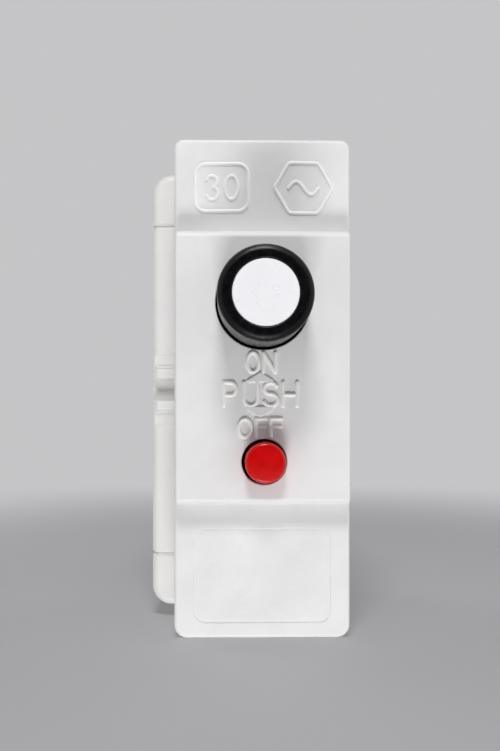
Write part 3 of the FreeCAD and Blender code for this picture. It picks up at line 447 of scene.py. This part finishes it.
class Finish:
    """A material under way: its nodes, its shader and the object's own coordinates."""

    def __init__(self, name, roughness, metallic=0.0, level=0.5, coat=0.0, coat_roughness=0.1):
        self.material = bpy.data.materials.new(name)
        self.material.use_nodes = True
        self.tree = self.material.node_tree
        self.shader = self.tree.nodes["Principled BSDF"]
        self.shader.inputs["Roughness"].default_value = roughness
        self.shader.inputs["Metallic"].default_value = metallic
        self.shader.inputs["Specular IOR Level"].default_value = level
        self.shader.inputs["Coat Weight"].default_value = coat
        self.shader.inputs["Coat Roughness"].default_value = coat_roughness
        self.place = self.tree.nodes.new("ShaderNodeTexCoord").outputs["Object"]

    def node(self, kind, links=(), **settings):
        """Adds a node, sets its properties and links its inputs, each given as (input, source or number)."""
        node = self.tree.nodes.new(kind)
        for key, value in settings.items():
            setattr(node, key, value)
        for name, source in links:
            if isinstance(source, bpy.types.NodeSocket):
                self.tree.links.new(source, node.inputs[name])
            else:
                node.inputs[name].default_value = source
        return node

    def stretched(self, scale, turn=(0, 0, 0)):
        """The object's coordinates, scaled along each axis and turned."""
        links = [("Vector", self.place), ("Scale", scale), ("Rotation", turn)]
        return self.node("ShaderNodeMapping", links).outputs[0]

    def cloud(self, size, detail, place=None):
        """Soft noise whose patches are about size millimetres across."""
        links = [("Vector", place or self.place), ("Scale", 1000.0 / size), ("Detail", detail)]
        return self.node("ShaderNodeTexNoise", links).outputs["Fac"]

    def cells(self, size, place=None, feature="F1"):
        """Voronoi cells about size millimetres across."""
        links = [("Vector", place or self.place), ("Scale", 1000.0 / size)]
        return self.node("ShaderNodeTexVoronoi", links, feature=feature)

    def spread(self, source, low, high, to_low=0.0, to_high=1.0):
        """Stretches the range from low to high onto another range, clamped."""
        links = [("Value", source), ("From Min", low), ("From Max", high),
                 ("To Min", to_low), ("To Max", to_high)]
        return self.node("ShaderNodeMapRange", links).outputs[0]

    def product(self, a, b):
        """One pattern times another, or times a number."""
        return self.node("ShaderNodeMath", [(0, a), (1, b)], operation="MULTIPLY").outputs[0]

    def total(self, a, b):
        """The sum of two patterns."""
        return self.node("ShaderNodeMath", [(0, a), (1, b)], operation="ADD").outputs[0]

    def blend(self, share, a, b):
        """The colour a, turning into b as share goes from 0 to 1."""
        links = [(0, share), (FIRST_COLOUR, a), (SECOND_COLOUR, b)]
        return self.node("ShaderNodeMix", links, data_type="RGBA").outputs[MIXED_COLOUR]

    def edges(self, radius):
        """One on edges, for wear and for painted highlights: where the surface and the same surface with its
        edges rounded off differ.

        What is spread is the cosine of the angle between the two.
        """
        rounded = self.node("ShaderNodeBevel", [("Radius", radius * MM)], samples=4)
        plain = self.node("ShaderNodeNewGeometry")
        links = [(0, rounded.outputs[0]), (1, plain.outputs["Normal"])]
        close = self.node("ShaderNodeVectorMath", links, operation="DOT_PRODUCT").outputs["Value"]
        return self.spread(close, 0.97, 0.8)

    def open_share(self, reach):
        """How open the space is round a point: one on a free face, towards nothing down in a slot."""
        links = [("Distance", reach * MM)]
        return self.node("ShaderNodeAmbientOcclusion", links, samples=4).outputs["AO"]

    def shade(self, colour):
        """Takes a pattern as the colour."""
        self.tree.links.new(colour, self.shader.inputs["Base Color"])

    def polish(self, roughness):
        """Takes a pattern as the roughness."""
        self.tree.links.new(roughness, self.shader.inputs["Roughness"])

    def relief(self, *layers):
        """Bumps laid one over another, each (height, depth in millimetres)."""
        normal = None
        for height, depth in layers:
            links = [("Height", height), ("Strength", 1.0), ("Distance", depth * MM)]
            if normal is not None:
                links.append(("Normal", normal))
            normal = self.node("ShaderNodeBump", links).outputs[0]
        self.tree.links.new(normal, self.shader.inputs["Normal"])


def colour(red, green, blue):
    """A colour written in the usual 0 to 255 screen values."""
    values = np.array([red, green, blue]) / 255
    linear = np.where(values <= 0.04045, values / 12.92, ((values + 0.055) / 1.055) ** 2.4)
    return (float(linear[0]), float(linear[1]), float(linear[2]), 1.0)


def white_moulding(name, light, dull, specks=True, roughness=0.42):
    """White moulded plastic: cloudy in tone, softly glossy with a faint ripple, and a few dark specks."""
    finish = Finish(name, roughness, level=0.4)
    tone = finish.spread(finish.cloud(9.0, 4.0), 0.35, 0.65)
    base = finish.blend(tone, light, dull)
    grime = finish.product(finish.spread(finish.cloud(2.2, 5.0), 0.56, 0.75), 0.1)
    base = finish.blend(grime, base, colour(206, 202, 192))
    if specks:
        cell = finish.cells(3.6)
        dot = finish.spread(cell.outputs["Distance"], 0.045, 0.022)
        rare = finish.spread(cell.outputs["Color"], 0.80, 0.82)
        base = finish.blend(finish.product(dot, rare), base, colour(112, 102, 88))
    finish.shade(base)
    finish.polish(finish.spread(finish.cloud(1.4, 4.0), 0.3, 0.7, roughness - 0.07, roughness + 0.08))
    finish.relief((finish.cloud(0.9, 2.0), 0.008), (finish.cloud(0.16, 2.0), 0.0022))
    return finish.material


def gloss_black(name):
    """Black thermoset: deep, glossy, with fine dust, hairline scratches and a lighter dulled edge that is
    partly wear and partly a painted highlight.
    """
    finish = Finish(name, 0.3, level=0.3)
    dust = finish.spread(finish.cloud(0.35, 6.0), 0.63, 0.74)
    base = finish.blend(finish.product(dust, 0.35), colour(4, 4, 6), colour(52, 50, 50))
    # Lighter grey on the edges: partly worn, partly a painted highlight on the rounded rim
    base = finish.blend(finish.product(finish.edges(0.25), 0.3), base, colour(46, 44, 46))
    finish.shade(base)
    scratch = finish.cells(1.1, finish.stretched((1.0, 1.0, 7.0), (0.3, 0.0, 0.5)), "DISTANCE_TO_EDGE")
    line = finish.spread(scratch.outputs["Distance"], 0.02, 0.0)
    finish.polish(finish.spread(finish.cloud(0.8, 4.0), 0.3, 0.75, 0.25, 0.4))
    finish.relief((finish.cloud(0.5, 3.0), 0.004), (line, 0.0012))
    return finish.material


def red_cap(name):
    """Red moulded plastic, cloudy, with soft gloss and a paler pink edge that is partly wear and partly a
    painted highlight.
    """
    finish = Finish(name, 0.2, level=0.46)
    tone = finish.spread(finish.cloud(1.8, 4.0), 0.35, 0.65)
    base = finish.blend(tone, colour(203, 2, 4), colour(191, 2, 4))
    # A paler pink on the edges: partly worn, partly a painted highlight on the rounded rim
    base = finish.blend(finish.product(finish.edges(0.3), 0.25), base, colour(222, 84, 84))
    finish.shade(base)
    finish.polish(finish.spread(finish.cloud(0.6, 4.0), 0.3, 0.7, 0.15, 0.25))
    finish.relief((finish.cloud(0.6, 2.0), 0.004), (finish.cloud(0.12, 2.0), 0.001))
    return finish.material


def plain_moulding(name, light, dark, roughness, fibre=0.35):
    """Filled engineering plastic: flow marks, short fibres just under the skin, and a satin surface."""
    finish = Finish(name, roughness, level=0.45)
    flow = finish.cloud(1.0, 5.0, finish.stretched((1.0, 1.0, 0.3), (0.4, 0.2, 0.0)))
    base = finish.blend(finish.spread(flow, 0.3, 0.7), light, dark)
    strand = finish.cells(0.5, finish.stretched((1.0, 5.0, 1.0), (0.5, 0.9, 0.2)), "DISTANCE_TO_EDGE")
    fibres = finish.spread(strand.outputs["Distance"], 0.08, 0.0)
    base = finish.blend(finish.product(fibres, fibre), base, dark)
    finish.shade(base)
    finish.polish(finish.spread(finish.cloud(0.7, 4.0), 0.3, 0.7, roughness - 0.08, roughness + 0.1))
    finish.relief((finish.cloud(0.3, 3.0), 0.006), (strand.outputs["Distance"], 0.002))
    return finish.material


def drawn_metal(name, light, dark, stain, roughness, grain):
    """Metal with the fine lines of rolling or drawing, stains of handling, and edges rubbed bright.

    The grain gives the lines' scale along each axis, and they run along the axis where it is least. Down
    in slots and corners the metal is painted dark as shade, and only free edges are rubbed.
    """
    finish = Finish(name, roughness, metallic=1.0)
    lines = finish.cloud(0.5, 5.0, finish.stretched(grain))
    base = finish.blend(finish.spread(lines, 0.3, 0.7), light, dark)
    patch = finish.spread(finish.cloud(3.0, 5.0), 0.5, 0.72)
    base = finish.blend(finish.product(patch, 0.55), base, stain)
    space = finish.open_share(0.7)
    rubbed = finish.product(finish.edges(0.2), finish.spread(space, 0.6, 0.9, 0.0, 0.5))
    base = finish.blend(rubbed, base, light)
    # Painted shade: where little space is open round a point, in slots and corners, the metal is painted dark
    base = finish.blend(finish.spread(space, 0.75, 0.3, 0.0, 0.8), base, colour(44, 40, 36))
    finish.shade(base)
    uneven = finish.spread(finish.total(finish.product(lines, 0.5), finish.product(patch, 0.5)), 0.2, 0.8)
    finish.polish(finish.spread(uneven, 0.0, 1.0, roughness - 0.08, roughness + 0.14))
    pits = finish.spread(finish.cells(0.35).outputs["Distance"], 0.1, 0.0)
    finish.relief((lines, 0.003), (pits, 0.0015))
    return finish.material


def two_metals(name):
    """The bonded trip strip: a grey face in front and a yellower one behind, with the line between them."""
    finish = Finish(name, 0.36, metallic=1.0)
    depth = finish.node("ShaderNodeSeparateXYZ", [("Vector", finish.place)]).outputs["Y"]
    behind = finish.spread(depth, -28.13 * MM, -28.07 * MM)
    base = finish.blend(behind, colour(158, 156, 152), colour(178, 150, 104))
    lines = finish.cloud(0.4, 5.0, finish.stretched((1.0, 1.0, 0.12)))
    base = finish.blend(finish.product(finish.spread(lines, 0.35, 0.7), 0.4), base, colour(108, 98, 84))
    blue = finish.spread(finish.cloud(2.4, 3.0), 0.5, 0.7)
    base = finish.blend(finish.product(blue, 0.3), base, colour(98, 104, 132))
    finish.shade(base)
    finish.polish(finish.spread(lines, 0.3, 0.7, 0.28, 0.46))
    finish.relief((lines, 0.002))
    return finish.material


def pressed_fibre(name):
    """Pressed fibre board: felted short fibres in grey-brown layers, dry and slightly fuzzy."""
    finish = Finish(name, 0.82, level=0.2)
    felt = finish.cloud(0.35, 8.0, finish.stretched((1.0, 0.45, 1.6), (0.0, 0.0, 0.3)))
    base = finish.blend(finish.spread(felt, 0.3, 0.7), colour(150, 128, 104), colour(96, 78, 62))
    scorch = finish.spread(finish.cloud(3.2, 3.0), 0.52, 0.72)
    base = finish.blend(finish.product(scorch, 0.4), base, colour(58, 48, 42))
    finish.shade(base)
    finish.polish(finish.spread(felt, 0.3, 0.7, 0.74, 0.9))
    finish.relief((felt, 0.02))
    return finish.material


def burnt_silver(name):
    """Silver contact: bright, with matt grey craters and smoke round the spot where the arc strikes."""
    finish = Finish(name, 0.3, metallic=1.0)
    crater = finish.cells(0.5)
    burnt = finish.spread(finish.cloud(1.4, 5.0), 0.42, 0.62)
    base = finish.blend(finish.product(burnt, 0.6), colour(226, 224, 218), colour(120, 114, 106))
    finish.shade(base)
    finish.polish(finish.spread(burnt, 0.0, 1.0, 0.24, 0.6))
    finish.relief((crater.outputs["Distance"], 0.012), (finish.cloud(0.2, 4.0), 0.004))
    return finish.material


def enamelled_wire(name):
    """Copper winding wire under amber lacquer, with darker bands and lacquer ripples."""
    finish = Finish(name, 0.3, metallic=1.0, coat=0.7, coat_roughness=0.14)
    band = finish.cloud(1.6, 4.0)
    base = finish.blend(finish.spread(band, 0.35, 0.65), colour(190, 96, 52), colour(142, 62, 34))
    finish.shade(base)
    finish.polish(finish.spread(band, 0.3, 0.7, 0.24, 0.4))
    finish.relief((finish.cloud(0.35, 3.0), 0.006))
    return finish.material


def copper_strands(name):
    """Copper braid: bright strands with brown oxide down between them."""
    finish = Finish(name, 0.38, metallic=1.0)
    strand = finish.cells(0.3, finish.stretched((1.0, 0.5, 1.0), (0.6, 0.0, 0.0))).outputs["Distance"]
    base = finish.blend(finish.spread(strand, 0.2, 0.7), colour(206, 122, 78), colour(104, 54, 34))
    finish.shade(base)
    finish.polish(finish.spread(finish.cloud(0.5, 4.0), 0.3, 0.7, 0.3, 0.5))
    finish.relief((strand, 0.03))
    return finish.material


# Scales along the three axes that draw a metal's fine lines out along one of them
NO_GRAIN, ALONG_Y, ALONG_Z = (1.0, 1.0, 1.0), (1.0, 0.2, 1.0), (1.0, 1.0, 0.25)
LONG_ALONG_Y, LONG_ALONG_Z = (1.0, 0.12, 1.0), (1.0, 1.0, 0.15)

FINISHES = {
    "cover_white": white_moulding("cover_white", colour(232, 231, 231), colour(225, 224, 224)),
    # The raised words and signs get a lighter copy of the cover's white: the extra lightness is painted light
    # on their crests
    "raised_white_painted_light": white_moulding(
        "raised_white_painted_light", colour(243, 242, 240), colour(239, 238, 235), specks=False, roughness=0.34),
    "case_white": white_moulding(
        "case_white", colour(227, 226, 225), colour(222, 221, 219), specks=False),
    "disc_white": white_moulding(
        "disc_white", colour(243, 243, 246), colour(239, 239, 242), specks=False, roughness=0.34),
    "button_black": gloss_black("button_black"),
    "button_red": red_cap("button_red"),
    "nylon_natural": plain_moulding(
        "nylon_natural", colour(226, 220, 204), colour(206, 198, 178), 0.45, 0.12),
    "bobbin_black": plain_moulding("bobbin_black", colour(42, 42, 44), colour(24, 24, 26), 0.5),
    "fibre_board": pressed_fibre("fibre_board"),
    "spring_steel": drawn_metal(
        "spring_steel", colour(176, 176, 178), colour(118, 118, 122), colour(92, 84, 76), 0.34, NO_GRAIN),
    "zinc_steel": drawn_metal(
        "zinc_steel", colour(196, 200, 204), colour(156, 162, 170), colour(134, 132, 112), 0.36, ALONG_Y),
    "nickel_steel": drawn_metal(
        "nickel_steel", colour(212, 208, 200), colour(170, 166, 158), colour(118, 108, 96), 0.26, ALONG_Z),
    "core_iron": drawn_metal(
        "core_iron", colour(126, 126, 128), colour(84, 84, 88), colour(78, 58, 44), 0.44, ALONG_Y),
    "bimetal": two_metals("bimetal"),
    "brass_blade": drawn_metal(
        "brass_blade", colour(212, 180, 112), colour(190, 157, 92), colour(150, 118, 70), 0.3, LONG_ALONG_Y),
    "copper_strip": drawn_metal(
        "copper_strip", colour(206, 124, 82), colour(166, 92, 58), colour(96, 54, 40), 0.34, LONG_ALONG_Z),
    "copper_winding": enamelled_wire("copper_winding"),
    "copper_braid": copper_strands("copper_braid"),
    "silver_contact": burnt_silver("silver_contact"),
}

# Each solid gets the finish that its slot is named after
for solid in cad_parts.values():
    for place, material in enumerate(solid.data.materials):
        solid.data.materials[place] = FINISHES[material.name.split(".")[0]]


# Buttons: each is a profile from the middle of its front, over its side and flange, to the middle of its back

def flange_corner(radius, edge):
    """The end of a button's side and the hollow corner with its flange."""
    return [(radius, FLANGE - edge)] + corner_arc((radius + edge, FLANGE - edge), edge, 180, 90, 4)[1:]


def flange_rim(radius, edge):
    """The flange's two rounded edges."""
    return (corner_arc((radius - edge, FLANGE + edge), edge, 270, 360, 4)
            + corner_arc((radius - edge, FLANGE_BACK - edge), edge, 0, 90, 4))


# The ON button: a turned cup with a seat for the disc, and the disc with its faint numbers

CAP_RADIUS, CAP_ROUNDING, CAP_FLANGE_RADIUS = 6.6, 1.05, 7.6
SEAT_RADIUS, SEAT = 4.62, -59.6
BORE_RADIUS, BORE_END = 5.0, -57.4
DISC_RADIUS, DISC_EDGE = 4.55, 0.22

cap_profile = (
    [(0.0, SEAT), (SEAT_RADIUS, SEAT), (SEAT_RADIUS, ON_FRONT + 0.18)]
    + corner_arc((SEAT_RADIUS + 0.16, ON_FRONT + 0.18), 0.16, 180, 270, 5)
    + [(5.1, ON_FRONT + 0.04), (5.48, ON_FRONT + 0.008)]
    + corner_arc((CAP_RADIUS - CAP_ROUNDING, ON_FRONT + CAP_ROUNDING), CAP_ROUNDING, 272, 360, 14)
    + [(CAP_RADIUS, -55.0)] + flange_corner(CAP_RADIUS, edge=0.12) + flange_rim(CAP_FLANGE_RADIUS, edge=0.15)
    + corner_arc((BORE_RADIUS + 0.12, FLANGE_BACK - 0.12), 0.12, 90, 180, 4)
    + [(BORE_RADIUS, BORE_END), (0.0, BORE_END)]
)
on_cap = turned("on_button_cup", cap_profile, ON_MIDDLE, FINISHES["button_black"],
                "on_button", CAP_SIDES)
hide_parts("on_button_cap")

disc_profile = (
    [(0.0, ON_FRONT + 0.07), (2.6, ON_FRONT + 0.066), (3.9, ON_FRONT + 0.045)]
    + corner_arc((DISC_RADIUS - DISC_EDGE, ON_FRONT + DISC_EDGE), DISC_EDGE, 270, 360, 7)
    + [(DISC_RADIUS, SEAT - 0.02), (0.0, SEAT - 0.02)]
)
on_disc = turned("on_button_face", disc_profile, ON_MIDDLE, FINISHES["disc_white"], "on_button")
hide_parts("on_button_disc")

disc_signs = word([
    ("2", -2.0, -1.2, 13.0, 13.95), ("4", -0.75, 0.1, 13.0, 13.95), ("0", 0.55, 1.4, 13.0, 13.95),
    ("3", -0.9, -0.15, 10.35, 11.3), ("0", 0.3, 1.1, 10.35, 11.3),
])
ridges("disc_numbers", quarter_turned(disc_signs, ON_MIDDLE), half_width=0.1, height=0.055,
       face_y=ON_FRONT + 0.068, finish=FINISHES["disc_white"], slot="disc_white", body="on_button")

# The OFF button: a low crowned cap, its flange and its stem, turned in one piece

OFF_RADIUS, OFF_ROUNDING, OFF_FLANGE_RADIUS = 3.0, 0.57, 4.0
STEM_RADIUS, STEM_END = 1.6, -25.2

off_profile = (
    [(0.0, OFF_FRONT), (1.2, OFF_FRONT + 0.012), (2.05, OFF_FRONT + 0.05)]
    + corner_arc((2.37, OFF_FRONT + 0.63), OFF_ROUNDING, 275, 360, 12)
    + [(OFF_RADIUS, -47.0)] + flange_corner(OFF_RADIUS, edge=0.1) + flange_rim(OFF_FLANGE_RADIUS, edge=0.13)
    + [(STEM_RADIUS + 0.15, FLANGE_BACK), (STEM_RADIUS, FLANGE_BACK + 0.15)]
    + [(STEM_RADIUS, STEM_END - 0.3), (STEM_RADIUS - 0.3, STEM_END), (0.0, STEM_END)]
)
off_cap = turned("off_button_cap", off_profile, (OFF_MIDDLE[0] + 0.1, OFF_MIDDLE[1] - 0.04),
                 FINISHES["button_red"], "off_button")
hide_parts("off_button")

# Raised words and arrowheads on the plateau. A stroke has half its width and its height, and an arrowhead
# has the radius of its corners, its height and the rounding of its edge.

WORD_STROKE = (0.32, 0.34)
SIGN_STROKE = (0.28, 0.26)
ARROWHEAD = (0.26, 0.3, 0.2)


def moulded_word(name, lines, stroke, face_y):
    """A raised word or sign in a lighter copy of the cover's white, painted light on its crests, on the
    cover's face at that y.
    """
    ridges(name, lines, *stroke, face_y, FINISHES["raised_white_painted_light"], "cover_white")


def arrowhead(name, corners):
    """A low pointed plate on the plateau."""
    raised_plate(name, corners, *ARROWHEAD, PLATEAU, FINISHES["cover_white"], "cover_white")


moulded_word("word_on", word([("O", -2.27, -0.61, 2.08, 4.9), ("N", 0.08, 1.79, 2.08, 4.86)]),
             WORD_STROKE, PLATEAU)
moulded_word("word_push", word([("P", -5.66, -4.0, -2.83, 0.55), ("U", -2.75, -0.8, -2.83, 0.55),
                                ("S", 0.12, 2.11, -2.83, 0.55), ("H", 2.9, 4.93, -2.83, 0.55)]),
             WORD_STROKE, PLATEAU)
moulded_word("word_off", word([("O", -3.53, -1.69, -7.41, -4.72), ("F", -1.03, 0.44, -7.38, -4.72),
                               ("F", 1.08, 2.66, -7.26, -4.72)]),
             WORD_STROKE, PLATEAU)
arrowhead("arrowhead_up", [(-2.95, 0.55), (2.15, 0.55), (-0.4, 2.16)])
arrowhead("arrowhead_down", [(-2.5, -2.86), (1.7, -2.86), (1.45, -3.5), (0.55, -4.12), (-0.4, -4.47),
                             (-1.35, -4.12), (-2.25, -3.5)])

# Two plain signs on the upper panel: a rating number and the sign for alternating current, each in a frame

number_frame = rounded_outline([(-9.9, 26.0), (-2.1, 26.0), (-2.1, 33.0), (-9.9, 33.0)], radius=1.5)
number = word([("3", -8.3, -6.5, 27.75, 31.25), ("0", -5.5, -3.6, 27.75, 31.25)])
moulded_word("rating_number", [number_frame] + number, SIGN_STROKE, PANEL)

SIGN_X, SIGN_Z = 6.1, 29.45
FRAME_REACH = 4.3
WAVE_REACH, WAVE_HEIGHT = 2.2, 0.95

sixths = np.radians(np.arange(0, 360, 60))
current_frame = rounded_outline(
    np.stack([SIGN_X + FRAME_REACH * np.cos(sixths), SIGN_Z + FRAME_REACH * np.sin(sixths)], -1),
    radius=0.8)
wave = np.linspace(-1, 1, 33)
wave_line = np.stack([SIGN_X + WAVE_REACH * wave, SIGN_Z - WAVE_HEIGHT * np.sin(math.pi * wave)], -1)
moulded_word("current_sign", [current_frame, wave_line], SIGN_STROKE, PANEL)

# The label field: its grained floor and the slope round it

stippled_field("label_field", LABEL_MIDDLE, LABEL_SIZE, corner=1.75, face_y=PANEL + 0.15,
               finish=FINISHES["cover_white"])
sloped_border("label_border", LABEL_CORNERS, corner_radius=1.8, width=0.14, depth=0.17, face_y=PANEL,
              finish=FINISHES["cover_white"])

# Springs and the braid. Each spring has its name and its solid, the
# middle of its axis, the y of its two ends, the radius of its coil and of its wire, and its turns. Then
# come the joint that presses it and how far its front end moves.

SPRINGS = [
    ("on_button_spring", "on_return_spring", ON_MIDDLE, (-55.4, -30.5), 3.9, 0.4, 12,
     "on_button_slide", 5.2),
    ("off_button_spring", "off_return_spring", OFF_MIDDLE, (-40.65, -30.5), 2.5, 0.3, 9,
     "off_button_slide", 2.0),
    ("contact_arm_spring", "arm_opening_spring", (0.0, 3.65), (-15.4, -8.0), 2.0, 0.3, 7,
     "contact_arm_hinge", 3.0),
    ("latch_lever_spring", "latch_return_spring", (0.0, -6.6), (-23.2, -19.6), 1.4, 0.2, 5,
     "latch_lever_hinge", 1.4),
    ("armature_spring", "armature_return_spring", (0.0, -17.0), (-16.6, -10.2), 1.05, 0.2, 7,
     "armature_slide", 1.2),
]

for name, node, middle, ends, radius, wire, turns, joint, travel in SPRINGS:
    spring = wire_coil(name, node, middle, ends, radius, wire, turns,
                       FINISHES["spring_steel"])
    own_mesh(spring)

BRAID_X, STRIP_Z, LUG_Z = -5.1, -11.0, -7.97
BRAID_RADIUS = 0.8

braid_route = [(BRAID_X, -27.55, STRIP_Z), (BRAID_X, -21.9, STRIP_Z),
               (BRAID_X, -17.55, LUG_Z), (BRAID_X, -15.02, LUG_Z)]
braid = woven_lead("braided_lead", "flexible_braid", braid_route, BRAID_RADIUS,
                   FINISHES["copper_braid"])
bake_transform(braid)


# Floor, light and camera

def background(tree, inputs, pale, dim):
    """A pale colour for what the camera, a gloss or a clear part sees, and a dimmer one for diffuse light."""
    path = tree.nodes.new("ShaderNodeLightPath")
    seen = path.outputs["Is Camera Ray"]
    for other in ("Is Glossy Ray", "Is Transmission Ray"):
        either = tree.nodes.new("ShaderNodeMath")
        either.operation = "MAXIMUM"
        tree.links.new(seen, either.inputs[0])
        tree.links.new(path.outputs[other], either.inputs[1])
        seen = either.outputs[0]
    mix = tree.nodes.new("ShaderNodeMix")
    mix.data_type = "RGBA"
    mix.inputs[FIRST_COLOUR].default_value = dim
    mix.inputs[SECOND_COLOUR].default_value = pale
    tree.links.new(seen, mix.inputs[0])
    tree.links.new(mix.outputs[MIXED_COLOUR], inputs["Color"])


BACKDROP = (0.56, 0.56, 0.57, 1.0)
AMBIENT = (0.27, 0.27, 0.275, 1.0)
FLOOR_GREY = (0.42, 0.42, 0.43, 1.0)
CARD_BLACK = (0.01, 0.01, 0.01, 1.0)

world = bpy.data.worlds.new("studio")
world.use_nodes = True
background(world.node_tree, world.node_tree.nodes["Background"].inputs, BACKDROP, AMBIENT)
bpy.context.scene.world = world


def stage_piece(name, points, faces):
    """A flat piece of the studio, from points in metres, and its material."""
    mesh = bpy.data.meshes.new(name)
    mesh.from_pydata(points, [], faces)
    piece = bpy.data.objects.new(name, mesh)
    bpy.context.scene.collection.objects.link(piece)
    material = bpy.data.materials.new(name)
    material.use_nodes = True
    mesh.materials.append(material)
    return piece, material.node_tree


def studio_floor(radii=(0.05, 0.15, 0.4, 1.0, 3.0), around=96, fade_start=0.1, fade_end=0.3):
    """A flat disc under the object: circles of points at x = reach cos a and y = reach sin a, and one
    point in the middle. Between two distances its grey turns into the backdrop's colour.
    """
    angle = np.linspace(0, 2 * math.pi, around, endpoint=False)
    reach = np.array(radii)[:, None]
    height = np.full((len(radii), around), FLOOR_HEIGHT * MM)
    rings = np.stack([reach * np.cos(angle), reach * np.sin(angle), height], -1).reshape(-1, 3)
    points = np.vstack([rings, [(0, 0, FLOOR_HEIGHT * MM)]])
    first = np.arange(around)
    faces = grid_faces(len(radii), around, wrap=True)[:, ::-1].tolist()
    faces += np.stack([np.full(around, len(rings)), first, np.roll(first, -1)], -1).tolist()
    floor, tree = stage_piece("studio_floor", points.tolist(), faces)
    floor.visible_shadow = False
    shader = tree.nodes["Principled BSDF"]
    shader.inputs["Base Color"].default_value = FLOOR_GREY
    shader.inputs["Roughness"].default_value = 0.7
    shader.inputs["Specular IOR Level"].default_value = 0.2
    glow = tree.nodes.new("ShaderNodeEmission")
    background(tree, glow.inputs, BACKDROP, AMBIENT)
    place = tree.nodes.new("ShaderNodeTexCoord")
    length = tree.nodes.new("ShaderNodeVectorMath")
    length.operation = "LENGTH"
    tree.links.new(place.outputs["Object"], length.inputs[0])
    fade = tree.nodes.new("ShaderNodeMapRange")
    fade.interpolation_type = "SMOOTHSTEP"
    fade.inputs["From Min"].default_value = fade_start
    fade.inputs["From Max"].default_value = fade_end
    tree.links.new(length.outputs["Value"], fade.inputs["Value"])
    mix = tree.nodes.new("ShaderNodeMixShader")
    tree.links.new(fade.outputs[0], mix.inputs[0])
    tree.links.new(shader.outputs[0], mix.inputs[1])
    tree.links.new(glow.outputs[0], mix.inputs[2])
    tree.links.new(mix.outputs[0], tree.nodes["Material Output"].inputs["Surface"])


def dark_card(half_width=0.16, half_height=0.13, distance=0.26):
    """A flat black card behind the camera that only gloss sees. Black plastic stays black in front of it."""
    corners = [(-half_width, -distance, -half_height), (half_width, -distance, -half_height),
               (half_width, -distance, half_height), (-half_width, -distance, half_height)]
    card, tree = stage_piece("dark_card", corners, [[0, 1, 2, 3]])
    card.visible_camera = False
    card.visible_diffuse = False
    card.visible_transmission = False
    card.visible_shadow = False
    shader = tree.nodes["Principled BSDF"]
    shader.inputs["Base Color"].default_value = CARD_BLACK
    shader.inputs["Specular IOR Level"].default_value = 0.0


def soft_box(name, place, target, size, glow, gloss=True):
    """A rectangular lamp in millimetres that looks at a point, where a glow of 1 is as bright as white.

    Without gloss it only fills in, and no shiny surface mirrors it.
    """
    data = bpy.data.lights.new(name, "AREA")
    data.shape = "RECTANGLE"
    data.size, data.size_y = size[0] * MM, size[1] * MM
    data.energy = glow * math.pi * data.size * data.size_y
    lamp = bpy.data.objects.new(name, data)
    bpy.context.scene.collection.objects.link(lamp)
    place, target = np.array(place, float) * MM, np.array(target, float) * MM
    lamp.location = place
    lamp.rotation_euler = Vector(target - place).to_track_quat("-Z", "Y").to_euler()
    lamp.visible_camera = False
    lamp.visible_glossy = gloss


studio_floor()
dark_card()

# Lamps: where each stands, where it looks, its size and its glow
soft_box("lamp_above", (-18, -290, 332), (0, -47, 0), (100, 90), 29.6)
soft_box("lamp_below", (-24, -320, -345), (0, -47, 0), (160, 110), 21.6)
soft_box("lamp_fill", (330, -120, -10), (0, -47, 0), (150, 150), 3.3, gloss=False)
soft_box("lamp_top", (0, -95, 200), (0, -45, 0), (80, 45), 5.1)
soft_box("lamp_left", (-235, 190, 40), (0, -10, 0), (200, 150), 4.8, gloss=False)
soft_box("lamp_right", (235, 190, 40), (0, -10, 0), (200, 150), 2.8, gloss=False)

# The photograph's view: the eye's place in millimetres, its turn about Z in degrees, which is to the right
# below zero, the lens, and how many of the picture's pixels its middle is raised by
EYE = (-5.13, -195.92, -4.15)
EYE_TURN = -1.27
LENS = 48.58
RISE_IN_PIXELS, PHOTO_HEIGHT = 39.5, 751

view = bpy.data.cameras.new("camera")
view.lens = LENS
view.sensor_width = 36.0
view.clip_start = 0.01
view.shift_y = RISE_IN_PIXELS / PHOTO_HEIGHT
camera = bpy.data.objects.new("camera", view)
bpy.context.scene.collection.objects.link(camera)
camera.location = np.array(EYE) * MM
camera.rotation_euler = (math.radians(90), 0, math.radians(EYE_TURN))
bpy.context.scene.camera = camera
bpy.context.scene.view_settings.view_transform = "Standard"
